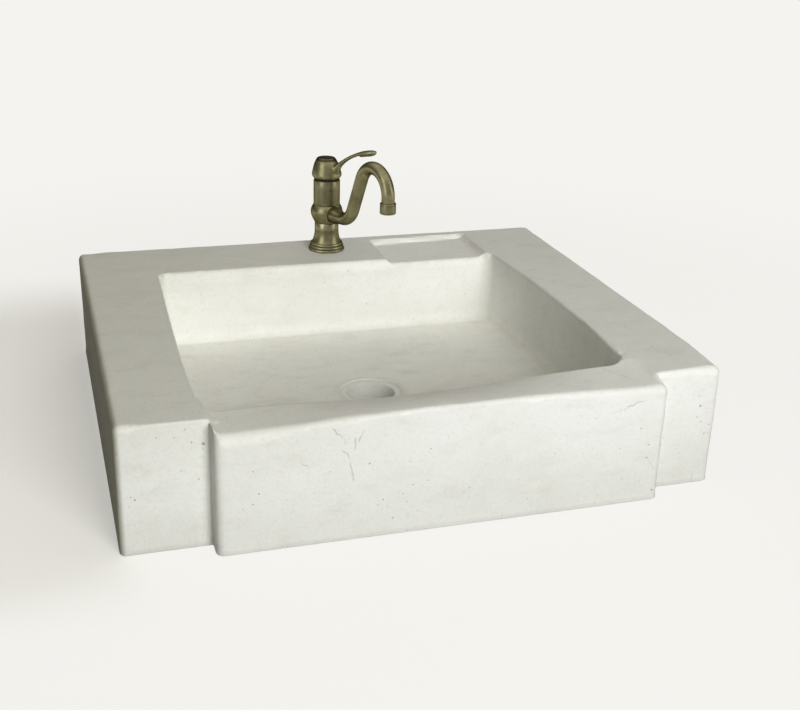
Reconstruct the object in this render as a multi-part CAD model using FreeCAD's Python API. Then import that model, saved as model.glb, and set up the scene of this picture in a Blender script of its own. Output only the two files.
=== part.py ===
import FreeCAD, Part
import math
import os

# Stone block. The frame's origin is the middle of the sink's footprint, on its underside.
block_width = 700.0
block_depth = 600.0
block_height = 150.0
block_edge_round = 7.0

# Apron, the middle of the front that stands proud of the block
apron_centre_x = 8.0
apron_width = 520.0
apron_projection = 26.0
apron_edge_round = 9.0
lip_drop_left = 3.0
lip_drop_low = 5.0
lip_drop_right = 2.0
rim_drop_left = 8.0
rim_drop_low = 14.0
rim_drop_right = 3.0
rim_low_x = -40.0
rim_round = 8.0

# Basin, measured at the deck
basin_centre_x = -3.0
basin_width = 490.0
basin_length = 440.0
basin_depth = 108.0
basin_corner_round = 24.0
basin_wall_lean = 6.0
basin_floor_round = 14.0
basin_rim_ease = 4.0
rear_deck = 118.0

# Drain hole in the middle of the basin floor, with a rebate for the waste's flange
drain_hole_radius = 31.0
drain_rebate_radius = 41.0
drain_rebate_depth = 2.0

# Soap rest, a shallow step in the rear deck that drains into the basin
soap_rest_centre_x = 159.0
soap_rest_width = 154.0
soap_rest_length = 93.0
soap_rest_depth = 7.0
soap_rest_side_slope = 5.0

# Tap position on the rear deck and the stone left under it
tap_x = 7.0
tap_from_back = 52.0
tap_stone_thickness = 40.0
tap_pocket_room = 6.0

# Fits
thread_clearance = 0.05
running_clearance = 0.08
seal_clearance = 0.05
tap_hole_clearance = 1.0
working_gap = 0.3

# Water ways. The tap's radii are built up from how far these stand from its axis.
water_way_spread = 6.5
water_way_radius = 3.5
inlet_radius = 4.5
inlet_depth = 12.0
inlet_margin = 2.5

# Tap clamping below the deck
shank_wall = 3.0
shank_engagement = 10.0
shank_tail = 7.0
washer_width = 13.5
rubber_washer_thickness = 3.0
clamp_washer_thickness = 2.0
back_nut_wall = 6.5
back_nut_height = 10.0

# Foot column. Heights of the tap count from the deck.
foot_spread = 8.1
foot_ring_count = 3
foot_ring_height = 4.0
foot_ring_step = 1.3
foot_ring_bulge = 0.9
flare_fullness = 0.25
waist_height = 10.0
foot_height = 41.0
gasket_inset = 2.0
gasket_width = 3.5
gasket_thickness = 2.0
nose_wall = 3.0
nose_step = 2.5
nose_height = 6.0
spigot_shoulder = 1.9

# Swivel collar and its bearing
slip_ring_thickness = 1.0
collar_bulge = 4.05
collar_bulge_height = 14.5
collar_foot_step = 0.6
collar_foot_land = 4.2
collar_top_land = 0.2
chamber_depth = 1.7
chamber_height = 9.5
spout_seal_thickness = 1.9
spout_seal_land = 0.5
spout_seat_wall = 1.7
spout_boss_wall = 1.7
spout_boss_proud = 6.6

# Spout, along its centre line from the collar
spout_azimuth = 18.0
spout_tube_radius = 9.1
spout_tube_wall = 1.6
spout_straight = 11.3
spout_lower_bend = 32.4
spout_rise_angle = 66.8
spout_rise = 54.6
spout_upper_bend = 33.9
spout_drop = 12.0

# Aerator on the spout's end
aerator_wall = 2.1
aerator_engagement = 5.5
aerator_seal_thickness = 1.5
aerator_insert_height = 6.8
aerator_lip = 1.2
aerator_lip_width = 1.2
aerator_hole_radius = 0.9

# Cartridge barrel
barrel_wall = 2.35
barrel_floor = 4.0
barrel_rim = 1.7
barrel_edge = 0.6

# Mixing cartridge
cartridge_wall = 1.6
cartridge_base_thickness = 3.0
cartridge_base_rim = 2.45
cartridge_port_radius = 2.8
cartridge_port_web = 0.3
cartridge_seal_thickness = 1.2
fixed_disc_thickness = 2.5
moving_disc_thickness = 2.5
moving_disc_room = 3.1
mixing_pocket_radius = 6.0
mixing_pocket_depth = 1.2
driver_ball_room = 0.15
driver_rib_height = 1.2
driver_rib_width = 6.0
driver_rib_inset = 1.8
carrier_thickness = 6.0
pivot_below_carrier_top = 2.4
pivot_pin_radius = 1.5
pivot_pin_inset = 1.3
stem_side = 7.0
stem_ball_radius = 2.1
stem_finger_radius = 1.2
stem_foot_gap = 1.5
stem_slot_room = 2.4
stem_neck_room = 5.5
cartridge_top_wall = 2.0
cartridge_neck_wall = 1.8
cartridge_neck_height = 3.8
cartridge_ledge = 2.0
cartridge_nut_height = 4.0
nut_slot_width = 4.0
nut_slot_depth = 2.0
cover_ring_gap = 2.2
cover_ring_height = 2.8

# Lever, in its closed position: the hub is level and the arm leans up from it
lever_azimuth = 35.0
hub_gap = 2.9
hub_height = 29.0
hub_foot_inset = 0.15
hub_flare = 2.0
hub_flare_height = 4.0
hub_shoulder_land = 2.0
hub_dome_dip = 1.1
hub_top_wall = 1.3
hub_rim = 1.0
hub_cavity_height = 5.1
hub_boss_wall = 2.0
hub_boss_drop = 1.6
hub_web = 1.6
arm_reach = 95.5
arm_level = 43.4
arm_lean = 5.0
arm_root_inset = 4.2
arm_root_height = 12.0
arm_root_width = 15.0
arm_root_thickness = 8.0
arm_width = 8.2
arm_thickness = 3.8
pad_length = 27.5
pad_width = 15.5
pad_thickness = 6.8
pad_heel_width = 11.6
pad_heel_thickness = 6.1
pad_tip_width = 9.3
pad_tip_thickness = 4.1
pad_drop = 0.9
index_cap_radius = 12.6
index_cap_height = 3.4
index_cap_proud = 0.5
handle_screw_radius = 2.5
handle_screw_length = 12.0
handle_screw_head_radius = 4.2
handle_screw_head_height = 3.0

# Places in the stone
overall_depth = block_depth + apron_projection
block_back_y = overall_depth / 2
block_front_y = block_back_y - block_depth
apron_front_y = -overall_depth / 2
apron_left_x = apron_centre_x - apron_width / 2
apron_right_x = apron_centre_x + apron_width / 2
basin_back_y = block_back_y - rear_deck
basin_front_y = basin_back_y - basin_length
basin_middle_y = (basin_back_y + basin_front_y) / 2
basin_floor_z = block_height - basin_depth
tap_y = block_back_y - tap_from_back

# Radii of the tap, from the water ways outwards
shank_bore_radius = water_way_spread + inlet_radius + inlet_margin
shank_radius = shank_bore_radius + shank_wall
tap_hole_radius = shank_radius + tap_hole_clearance
washer_radius = shank_radius + washer_width
tap_pocket_radius = washer_radius + tap_pocket_room
nose_radius = water_way_spread + water_way_radius + nose_wall
spigot_radius = nose_radius + nose_step
waist_radius = spigot_radius + spigot_shoulder
foot_radius = waist_radius + foot_spread
gasket_outer_radius = foot_radius - gasket_inset
gasket_inner_radius = gasket_outer_radius - gasket_width
base_seal_outer_radius = water_way_spread / math.sqrt(2) - cartridge_port_web / 2 - seal_clearance
cavity_radius = water_way_spread + base_seal_outer_radius + seal_clearance + cartridge_base_rim
cartridge_radius = cavity_radius + cartridge_wall
cartridge_nut_radius = cartridge_radius + cartridge_ledge
barrel_radius = cartridge_nut_radius + barrel_wall
moving_disc_radius = cavity_radius - moving_disc_room
pivot_pin_length = 2 * (cavity_radius - running_clearance - pivot_pin_inset)
neck_bore_radius = stem_side / 2 + stem_neck_room
cartridge_neck_radius = neck_bore_radius + cartridge_neck_wall
cover_ring_inner_radius = cartridge_neck_radius + cover_ring_gap
collar_bore_radius = spigot_radius + running_clearance
collar_chamber_radius = collar_bore_radius + chamber_depth
collar_foot_radius = waist_radius + collar_foot_step
collar_radius = barrel_radius + collar_bulge
spout_boss_radius = spout_tube_radius + spout_boss_wall
spout_seat_radius = collar_chamber_radius + spout_seat_wall
spout_boss_reach = collar_radius + spout_boss_proud
spout_run = spout_boss_reach + spout_straight
tube_bore_radius = spout_tube_radius - spout_tube_wall
aerator_radius = spout_tube_radius + aerator_wall
hub_foot_radius = barrel_radius - hub_foot_inset
hub_radius = hub_foot_radius + hub_flare
hub_cavity_radius = hub_foot_radius - hub_rim
hub_top_radius = index_cap_radius + hub_top_wall
hub_boss_radius = stem_side / math.sqrt(2) + hub_boss_wall
arm_root_reach = hub_radius - arm_root_inset

# Heights of the tap, from the clamping upwards
rubber_washer_top = -tap_stone_thickness
clamp_washer_top = rubber_washer_top - rubber_washer_thickness
back_nut_top = clamp_washer_top - clamp_washer_thickness
back_nut_bottom = back_nut_top - back_nut_height
shank_bottom = back_nut_bottom - shank_tail
collar_bottom = foot_height + slip_ring_thickness
spout_height = collar_bottom + collar_foot_land + spout_boss_radius
collar_top = spout_height + spout_boss_radius + collar_top_land
spout_seal_offset = chamber_height / 2 + spout_seal_land + spout_seal_thickness / 2
barrel_bottom = collar_top + slip_ring_thickness
nose_top = barrel_bottom + nose_height
cartridge_bottom = nose_top + barrel_floor
base_recess_top = cartridge_bottom + cartridge_seal_thickness
fixed_disc_bottom = cartridge_bottom + cartridge_base_thickness
moving_disc_bottom = fixed_disc_bottom + fixed_disc_thickness
driver_bottom = moving_disc_bottom + moving_disc_thickness
ball_height = driver_bottom + driver_ball_room + stem_ball_radius
driver_top = ball_height + stem_ball_radius + driver_ball_room
carrier_bottom = driver_top + working_gap
carrier_top = carrier_bottom + carrier_thickness
pivot_height = carrier_top - pivot_below_carrier_top
cavity_top = carrier_top + running_clearance
cartridge_shoulder = cavity_top + cartridge_top_wall
cartridge_nut_top = cartridge_shoulder + cartridge_nut_height
cover_ring_top = cartridge_nut_top + cover_ring_height
barrel_top = cartridge_nut_top + barrel_rim
hub_bottom = barrel_top + hub_gap
hub_shoulder = hub_bottom + hub_flare_height + hub_shoulder_land
hub_ceiling = hub_bottom + hub_cavity_height
hub_top = hub_bottom + hub_height
index_cap_top = hub_top + index_cap_proud
index_cap_bottom = index_cap_top - index_cap_height
screw_seat = index_cap_bottom - working_gap - handle_screw_head_height
stem_top = screw_seat - hub_web

# The arm's curve, level at the lever's tip and down to its root in the hub
arm_run = arm_reach - arm_root_reach
arm_fall = arm_level - arm_root_height
arm_bend = (arm_run ** 2 + arm_fall ** 2) / (2 * arm_fall)

# Places of the hot, cold and mixed water ways
ports = [(-water_way_spread, 0.0), (water_way_spread, 0.0), (0.0, water_way_spread)]
stem_slot_half_length = stem_side / 2 + stem_slot_room

up = FreeCAD.Vector(0, 0, 1)
forward = FreeCAD.Vector(1, 0, 0)
centre = FreeCAD.Vector(0, 0, 0)
overcut = 1.0
tolerance = 1e-6


# A closed wire. Each step is a point (a, b), or (a, b, c, d) for an arc through (a, b) to (c, d).
def outline(steps, place):
    here = place(*steps[0])
    edges = []
    for step in steps[1:] + steps[:1]:
        there = place(*step[-2:])
        if len(step) == 4:
            edges.append(Part.Arc(here, place(*step[:2]), there).toShape())
        elif not here.isEqual(there, tolerance):
            edges.append(Part.LineSegment(here, there).toShape())
        here = there
    return Part.Wire(edges)


def in_radius_and_height(radius, height):
    return FreeCAD.Vector(radius, 0, height)


# A solid turned about the tap's axis from steps in radius and height
def turned(steps):
    face = Part.Face(outline(steps, in_radius_and_height))
    return face.revolve(centre, up, 360)


def cylinder(radius, bottom, top, x=0.0, y=0.0):
    return Part.makeCylinder(radius, top - bottom, FreeCAD.Vector(x, y, bottom), up)


def ring(inner, outer, bottom, top, x=0.0, y=0.0):
    return cylinder(outer, bottom, top, x, y).cut(cylinder(inner, bottom, top, x, y))


def box(x_low, x_high, y_low, y_high, z_low, z_high):
    corner = FreeCAD.Vector(x_low, y_low, z_low)
    return Part.makeBox(x_high - x_low, y_high - y_low, z_high - z_low, corner)


# A cylinder lying along the direction that the spout or lever points in
def lying_cylinder(radius, start, end, height):
    return Part.makeCylinder(radius, end - start, FreeCAD.Vector(start, 0, height), forward)


# Stands a piece of the tap on the deck, turned to an azimuth from the front towards the right
def on_deck(shape, azimuth=90.0):
    placed = shape.copy()
    placed.rotate(centre, up, azimuth - 90.0)
    placed.translate(FreeCAD.Vector(tap_x, tap_y, block_height))
    return placed


def rounded_rectangle(x_low, x_high, y_low, y_high, corner, z):
    bend = corner * (1 - math.sqrt(0.5))
    steps = [
        (x_low + corner, y_low),
        (x_high - corner, y_low),
        (x_high - bend, y_low + bend, x_high, y_low + corner),
        (x_high, y_high - corner),
        (x_high - bend, y_high - bend, x_high - corner, y_high),
        (x_low + corner, y_high),
        (x_low + bend, y_high - bend, x_low, y_high - corner),
        (x_low, y_low + corner),
        (x_low + bend, y_low + bend, x_low + corner, y_low),
    ]
    return outline(steps, lambda x, y: FreeCAD.Vector(x, y, z))


# The basin's outline, grown outwards by an amount, at a height
def basin_outline(growth, z):
    left = basin_centre_x - basin_width / 2 - growth
    right = basin_centre_x + basin_width / 2 + growth
    corner = basin_corner_round + max(growth, 0.0)
    return rounded_rectangle(left, right, basin_front_y - growth, basin_back_y + growth, corner, z)


# What is carved away for the basin: leaning walls, a rounded floor edge and an eased top edge
def basin_hollow():
    rise = overcut * basin_wall_lean / basin_depth
    sections = [basin_outline(-basin_wall_lean, basin_floor_z), basin_outline(rise, block_height + overcut)]
    hollow = Part.makeLoft(sections, True, True)
    floor_edges = [e for e in hollow.Edges if abs(e.BoundBox.ZMax - basin_floor_z) < tolerance]
    hollow = hollow.makeFillet(basin_floor_round, floor_edges)
    ease = [
        basin_outline(0.0, block_height - basin_rim_ease),
        basin_outline(basin_rim_ease + overcut, block_height + overcut),
    ]
    return hollow.fuse(Part.makeLoft(ease, True, True))


# Section of what is carved off the top of the apron and front rim, at one place along it
def scoop_section(x, lip_drop, rim_drop):
    lip = block_height - lip_drop
    rim = block_height - rim_drop
    lip_bend = apron_edge_round * (1 - math.sqrt(0.5))
    rim_bend = rim_round * (1 - math.sqrt(0.5))
    above = block_height + overcut
    wall = basin_front_y + basin_wall_lean * (rim_drop + rim_round) / basin_depth
    beyond = basin_front_y + basin_wall_lean + overcut
    steps = [
        (apron_front_y - overcut, lip - apron_edge_round),
        (apron_front_y, lip - apron_edge_round),
        (apron_front_y + lip_bend, lip - lip_bend, apron_front_y + apron_edge_round, lip),
        (wall - rim_round, rim),
        (wall - rim_bend, rim - rim_bend, wall, rim - rim_round),
        (beyond, rim - rim_round),
        (beyond, above),
        (apron_front_y - overcut, above),
    ]
    return outline(steps, lambda y, z: FreeCAD.Vector(x, y, z))


def rim_scoop():
    sections = [
        scoop_section(apron_left_x, lip_drop_left, rim_drop_left),
        scoop_section(rim_low_x, lip_drop_low, rim_drop_low),
        scoop_section(apron_right_x, lip_drop_right, rim_drop_right),
    ]
    return Part.makeLoft(sections, True, False)


def soap_rest_hollow():
    half = soap_rest_width / 2
    floor = block_height - soap_rest_depth
    slope = soap_rest_side_slope * (soap_rest_depth + overcut) / soap_rest_depth
    back = basin_back_y + soap_rest_length + slope - soap_rest_side_slope
    front = basin_back_y - basin_corner_round
    outer = half + slope - soap_rest_side_slope
    sections = []
    for inset, z in ((slope, floor), (0.0, block_height + overcut)):
        low = soap_rest_centre_x - outer + inset
        high = soap_rest_centre_x + outer - inset
        corners = [(low, front), (high, front), (high, back - inset), (low, back - inset)]
        sections.append(outline(corners, lambda x, y, z=z: FreeCAD.Vector(x, y, z)))
    return Part.makeLoft(sections, True, True)


def make_basin_block():
    half = block_width / 2
    block = box(-half, half, block_front_y, block_back_y, 0, block_height)
    worn = [e for e in block.Edges if e.BoundBox.ZMax > block_height / 2]
    block = block.makeFillet(block_edge_round, worn)
    apron = box(apron_left_x, apron_right_x, apron_front_y, basin_front_y, 0, block_height)
    upright = [e for e in apron.Edges if e.BoundBox.ZLength > block_height / 2]
    corners = [e for e in upright if e.BoundBox.YMax < block_front_y]
    block = block.fuse(apron.makeFillet(apron_edge_round, corners))
    block = block.cut(basin_hollow()).cut(rim_scoop()).cut(soap_rest_hollow())
    rebate_bottom = basin_floor_z - drain_rebate_depth
    rebate_top = basin_floor_z + overcut
    drain = (basin_centre_x, basin_middle_y)
    block = block.cut(cylinder(drain_rebate_radius, rebate_bottom, rebate_top, *drain))
    block = block.cut(cylinder(drain_hole_radius, 0, basin_floor_z, *drain))
    block = block.cut(cylinder(tap_hole_radius, 0, block_height, tap_x, tap_y))
    pocket_top = block_height - tap_stone_thickness
    block = block.cut(cylinder(tap_pocket_radius, 0, pocket_top, tap_x, tap_y))
    return block.removeSplitter()


# Cast foot: beads, a flare and a waist, then the spigot for the collar and the nose for the barrel
def make_foot_column():
    steps = [(0.0, 0.0), (foot_radius, 0.0)]
    for count in range(foot_ring_count):
        radius = foot_radius - count * foot_ring_step
        middle = (count + 0.5) * foot_ring_height
        top = (count + 1) * foot_ring_height
        if count:
            steps.append((radius, count * foot_ring_height))
        steps.append((radius + foot_ring_bulge, middle, radius, top))
    flare_radius = radius - foot_ring_step
    flare_bottom = top + foot_ring_step
    flare_top = foot_height - waist_height
    flare_middle_radius = waist_radius + (flare_radius - waist_radius) * flare_fullness
    steps.append((flare_radius, flare_bottom))
    steps.append((flare_middle_radius, (flare_bottom + flare_top) / 2, waist_radius, flare_top))
    steps.append((waist_radius, foot_height))
    steps.append((spigot_radius, foot_height))
    steps.append((spigot_radius, barrel_bottom))
    steps.append((nose_radius, barrel_bottom))
    steps.append((nose_radius, nose_top))
    steps.append((0.0, nose_top))
    column = turned(steps)
    column = column.cut(cylinder(shank_radius + thread_clearance, 0, shank_engagement))
    gasket_groove = (gasket_inner_radius - seal_clearance, gasket_outer_radius + seal_clearance)
    column = column.cut(ring(*gasket_groove, 0, gasket_thickness))
    groove_floor = spigot_radius - spout_seal_thickness
    half = spout_seal_thickness / 2 + seal_clearance
    for height in (spout_height - spout_seal_offset, spout_height + spout_seal_offset):
        column = column.cut(ring(groove_floor, spigot_radius + overcut, height - half, height + half))
    inlet_top = shank_engagement + inlet_depth
    for x, y in ports[:2]:
        column = column.cut(cylinder(inlet_radius, shank_engagement, inlet_top, x, y))
        column = column.cut(cylinder(water_way_radius, inlet_top, nose_top, x, y))
    x, y = ports[2]
    column = column.cut(cylinder(water_way_radius, spout_height, nose_top, x, y))
    outlet = Part.makeCylinder(
        water_way_radius, spigot_radius + overcut, FreeCAD.Vector(x, y, spout_height), FreeCAD.Vector(0, 1, 0)
    )
    return column.cut(outlet)


def make_foot_gasket():
    return ring(gasket_inner_radius, gasket_outer_radius, 0, gasket_thickness)


def make_mounting_shank():
    return ring(shank_bore_radius, shank_radius, shank_bottom, shank_engagement)


def make_rubber_washer():
    return ring(shank_radius + thread_clearance, washer_radius, clamp_washer_top, rubber_washer_top)


def make_clamp_washer():
    return ring(shank_radius + thread_clearance, washer_radius, back_nut_top, clamp_washer_top)


def make_back_nut():
    corner = (shank_radius + back_nut_wall) * 2 / math.sqrt(3)
    hexagon = []
    for count in range(6):
        angle = math.radians(60 * count)
        hexagon.append((corner * math.cos(angle), corner * math.sin(angle)))
    face = Part.Face(outline(hexagon, lambda x, y: FreeCAD.Vector(x, y, back_nut_bottom)))
    nut = face.extrude(FreeCAD.Vector(0, 0, back_nut_height))
    return nut.cut(cylinder(shank_radius + thread_clearance, back_nut_bottom, back_nut_top))


def make_lower_slip_ring():
    return ring(collar_bore_radius, waist_radius, foot_height, collar_bottom)


def make_upper_slip_ring():
    return ring(collar_bore_radius, barrel_radius, collar_top, barrel_bottom)


def make_spout_seal(height):
    section = spout_seal_thickness / 2 - seal_clearance
    return Part.makeTorus(spigot_radius - spout_seal_thickness / 2, section, FreeCAD.Vector(0, 0, height), up)


# Bulged collar with a short boss for the spout, a bore for the spigot and a water chamber inside
def make_swivel_collar():
    steps = [
        (0.0, collar_bottom),
        (collar_foot_radius, collar_bottom),
        (collar_radius, collar_bottom + collar_bulge_height, barrel_radius, collar_top),
        (0.0, collar_top),
    ]
    collar = turned(steps).fuse(lying_cylinder(spout_boss_radius, 0, spout_boss_reach, spout_height))
    collar = collar.cut(cylinder(collar_bore_radius, collar_bottom, collar_top))
    half = chamber_height / 2
    collar = collar.cut(cylinder(collar_chamber_radius, spout_height - half, spout_height + half))
    socket = spout_tube_radius + thread_clearance
    collar = collar.cut(lying_cylinder(socket, spout_seat_radius, spout_boss_reach + overcut, spout_height))
    return collar.cut(lying_cylinder(tube_bore_radius, 0, spout_seat_radius + overcut, spout_height))


# The spout's centre line in its own upright plane: run, bend up, rise, bend over, drop
def spout_path():
    rise = math.radians(spout_rise_angle)

    def around(bend, middle, angle):
        return (middle[0] + bend * math.cos(angle), middle[1] + bend * math.sin(angle))

    start = (spout_seat_radius, spout_height)
    run_end = (spout_run, spout_height)
    lower = (spout_run, spout_height + spout_lower_bend)
    lower_middle = around(spout_lower_bend, lower, rise / 2 - math.pi / 2)
    lower_end = around(spout_lower_bend, lower, rise - math.pi / 2)
    rise_end = (lower_end[0] + spout_rise * math.cos(rise), lower_end[1] + spout_rise * math.sin(rise))
    upper = around(spout_upper_bend, rise_end, rise - math.pi / 2)
    upper_middle = around(spout_upper_bend, upper, (rise + math.pi / 2) / 2)
    drop_start = (upper[0] + spout_upper_bend, upper[1])
    drop_end = (drop_start[0], drop_start[1] - spout_drop)
    points = (start, run_end, lower_middle, lower_end, rise_end, upper_middle, drop_start, drop_end)
    start, run_end, lower_middle, lower_end, rise_end, upper_middle, drop_start, drop_end = (
        in_radius_and_height(*point) for point in points
    )
    edges = [
        Part.LineSegment(start, run_end),
        Part.Arc(run_end, lower_middle, lower_end),
        Part.LineSegment(lower_end, rise_end),
        Part.Arc(rise_end, upper_middle, drop_start),
        Part.LineSegment(drop_start, drop_end),
    ]
    return Part.Wire([edge.toShape() for edge in edges]), drop_end


def make_spout_tube():
    path = spout_path()[0]
    start = FreeCAD.Vector(spout_seat_radius, 0, spout_height)
    walls = []
    for radius in (spout_tube_radius, tube_bore_radius):
        section = Part.Wire([Part.makeCircle(radius, start, forward)])
        walls.append(path.makePipeShell([section], True, False))
    return walls[0].cut(walls[1])


# Height of the spout tube's end and its distance from the tap's axis
def spout_tip():
    tip = spout_path()[1]
    return tip.x, tip.z


def make_aerator_housing():
    reach, tip = spout_tip()
    socket = spout_tube_radius + thread_clearance
    top = tip + aerator_engagement
    seat = tip - aerator_seal_thickness - aerator_insert_height
    bottom = seat - aerator_lip
    edge = aerator_lip
    steps = [
        (socket - aerator_lip_width, bottom),
        (aerator_radius - edge, bottom),
        (aerator_radius, bottom + edge),
        (aerator_radius, top - edge),
        (aerator_radius - edge, top),
        (socket, top),
        (socket, seat),
        (socket - aerator_lip_width, seat),
    ]
    housing = turned(steps)
    housing.translate(FreeCAD.Vector(reach, 0, 0))
    return housing


def make_aerator_seal():
    reach, tip = spout_tip()
    return ring(tube_bore_radius, spout_tube_radius, tip - aerator_seal_thickness, tip, reach)


# Straightener with a centre hole and two rings of holes
def make_aerator_insert():
    reach, tip = spout_tip()
    top = tip - aerator_seal_thickness
    bottom = top - aerator_insert_height
    insert = cylinder(spout_tube_radius, bottom, top, reach)
    insert = insert.cut(cylinder(aerator_hole_radius, bottom, top, reach))
    for circle, count in ((1, 6), (2, 12)):
        radius = circle * tube_bore_radius / 3
        for index in range(count):
            angle = 2 * math.pi * index / count
            x = reach + radius * math.cos(angle)
            insert = insert.cut(cylinder(aerator_hole_radius, bottom, top, x, radius * math.sin(angle)))
    return insert


def make_cartridge_barrel():
    steps = [
        (0.0, barrel_bottom),
        (barrel_radius, barrel_bottom),
        (barrel_radius, barrel_top - barrel_edge),
        (barrel_radius - barrel_edge, barrel_top),
        (0.0, barrel_top),
    ]
    barrel = turned(steps).cut(cylinder(nose_radius + thread_clearance, barrel_bottom, nose_top))
    barrel = barrel.cut(cylinder(cartridge_radius + thread_clearance, cartridge_bottom, cartridge_shoulder))
    barrel = barrel.cut(cylinder(cartridge_nut_radius + thread_clearance, cartridge_shoulder, barrel_top))
    for x, y in ports:
        barrel = barrel.cut(cylinder(water_way_radius, nose_top, cartridge_bottom, x, y))
    return barrel


# Upturned cup with a neck, which holds the base, the discs and the turning carrier
def make_cartridge_housing():
    neck_top = cartridge_shoulder + cartridge_neck_height
    housing = cylinder(cartridge_radius, cartridge_bottom, cartridge_shoulder)
    housing = housing.fuse(cylinder(cartridge_neck_radius, cartridge_shoulder, neck_top))
    housing = housing.cut(cylinder(cavity_radius, cartridge_bottom, cavity_top))
    return housing.cut(cylinder(neck_bore_radius, cavity_top, neck_top)).removeSplitter()


def make_cartridge_base():
    base = cylinder(cavity_radius - seal_clearance, cartridge_bottom, fixed_disc_bottom)
    recess_radius = base_seal_outer_radius + seal_clearance
    for x, y in ports:
        base = base.cut(cylinder(cartridge_port_radius, cartridge_bottom, fixed_disc_bottom, x, y))
        base = base.cut(cylinder(recess_radius, cartridge_bottom, base_recess_top, x, y))
    return base


def make_cartridge_base_seals():
    radii = (cartridge_port_radius, base_seal_outer_radius)
    return Part.makeCompound([ring(*radii, cartridge_bottom, base_recess_top, x, y) for x, y in ports])


def make_fixed_ceramic_disc():
    disc = cylinder(cavity_radius - seal_clearance, fixed_disc_bottom, moving_disc_bottom)
    for x, y in ports:
        disc = disc.cut(cylinder(cartridge_port_radius, fixed_disc_bottom, moving_disc_bottom, x, y))
    return disc


def make_moving_ceramic_disc():
    disc = cylinder(moving_disc_radius, moving_disc_bottom, driver_bottom)
    pocket_top = moving_disc_bottom + mixing_pocket_depth
    return disc.cut(cylinder(mixing_pocket_radius, moving_disc_bottom, pocket_top))


# Plate on the moving disc, with a rib that slides in the carrier and a hole for the stem's ball
def make_disc_driver():
    driver = cylinder(moving_disc_radius, driver_bottom, driver_top)
    half = driver_rib_width / 2
    rib_top = driver_top + driver_rib_height
    reach = moving_disc_radius - driver_rib_inset
    driver = driver.fuse(box(-reach, reach, -half, half, driver_bottom, rib_top))
    driver = driver.cut(box(-stem_slot_half_length, stem_slot_half_length, -half, half, driver_top, rib_top))
    driver = driver.cut(cylinder(stem_ball_radius + running_clearance, driver_bottom, driver_top))
    return driver.removeSplitter()


def make_stem_carrier():
    carrier = cylinder(cavity_radius - running_clearance, carrier_bottom, carrier_top)
    half = stem_side / 2 + running_clearance
    slot = stem_slot_half_length
    carrier = carrier.cut(box(-slot, slot, -half, half, carrier_bottom, carrier_top))
    half = driver_rib_width / 2 + running_clearance
    groove_top = driver_top + driver_rib_height + working_gap
    carrier = carrier.cut(box(-cavity_radius, cavity_radius, -half, half, carrier_bottom, groove_top))
    return carrier.cut(pivot_cylinder(pivot_pin_radius + seal_clearance))


# A cylinder on the lever's pivot axis, as long as the pin
def pivot_cylinder(radius):
    start = FreeCAD.Vector(0, -pivot_pin_length / 2, pivot_height)
    return Part.makeCylinder(radius, pivot_pin_length, start, FreeCAD.Vector(0, 1, 0))


def make_pivot_pin():
    return pivot_cylinder(pivot_pin_radius)


def make_cartridge_nut():
    bore = cartridge_neck_radius + thread_clearance
    nut = ring(bore, cartridge_nut_radius, cartridge_shoulder, cartridge_nut_top)
    half = nut_slot_width / 2
    reach = cartridge_nut_radius
    floor = cartridge_nut_top - nut_slot_depth
    nut = nut.cut(box(-reach, reach, -half, half, floor, cartridge_nut_top))
    return nut.cut(box(-half, half, -reach, reach, floor, cartridge_nut_top))


def make_cover_ring():
    return ring(cover_ring_inner_radius, cartridge_nut_radius, cartridge_nut_top, cover_ring_top)


# Square stem with a finger and ball that push the discs
def make_cartridge_stem():
    half = stem_side / 2
    stem = box(-half, half, -half, half, carrier_bottom + stem_foot_gap, stem_top)
    stem = stem.fuse(cylinder(stem_finger_radius, ball_height, pivot_height))
    stem = stem.fuse(Part.makeSphere(stem_ball_radius, FreeCAD.Vector(0, 0, ball_height)))
    stem = stem.cut(pivot_cylinder(pivot_pin_radius + running_clearance))
    screw_end = stem_top - handle_screw_length
    stem = stem.cut(cylinder(handle_screw_radius + thread_clearance, screw_end, stem_top))
    return stem.removeSplitter()


# Domed hub, hollow below so that it clears the barrel when it tips
def make_hub():
    dome_middle = (hub_shoulder + hub_top) / 2
    dome_radius = (hub_radius + hub_top_radius) / 2 - hub_dome_dip
    steps = [
        (0.0, hub_bottom),
        (hub_foot_radius, hub_bottom),
        (hub_radius, hub_bottom + hub_flare_height),
        (hub_radius, hub_shoulder),
        (dome_radius, dome_middle, hub_top_radius, hub_top),
        (0.0, hub_top),
    ]
    hub = turned(steps).cut(cylinder(hub_cavity_radius, hub_bottom, hub_ceiling))
    boss_bottom = hub_ceiling - hub_boss_drop
    hub = hub.fuse(cylinder(hub_boss_radius, boss_bottom, hub_ceiling))
    half = stem_side / 2 + thread_clearance
    hub = hub.cut(box(-half, half, -half, half, boss_bottom, stem_top))
    hub = hub.cut(cylinder(handle_screw_radius + thread_clearance, stem_top, screw_seat))
    hub = hub.cut(cylinder(handle_screw_head_radius + working_gap, screw_seat, index_cap_bottom))
    return hub.cut(cylinder(index_cap_radius + thread_clearance, index_cap_bottom, hub_top))


# An oval section of the arm, square to its curve, at a reach from the tap's axis
def arm_section(reach, width, thickness, drop=0.0):
    angle = math.asin((arm_reach - reach) / arm_bend)
    arm_top = hub_bottom + arm_level
    outwards = FreeCAD.Vector(-math.sin(angle), 0, math.cos(angle))
    middle = FreeCAD.Vector(arm_reach, 0, arm_top - arm_bend) + outwards * (arm_bend - drop)
    across = FreeCAD.Vector(0, 1, 0)
    oval = Part.Ellipse(middle + across * (width / 2), middle + outwards * (thickness / 2), middle)
    return Part.Wire([oval.toShape()])


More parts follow.
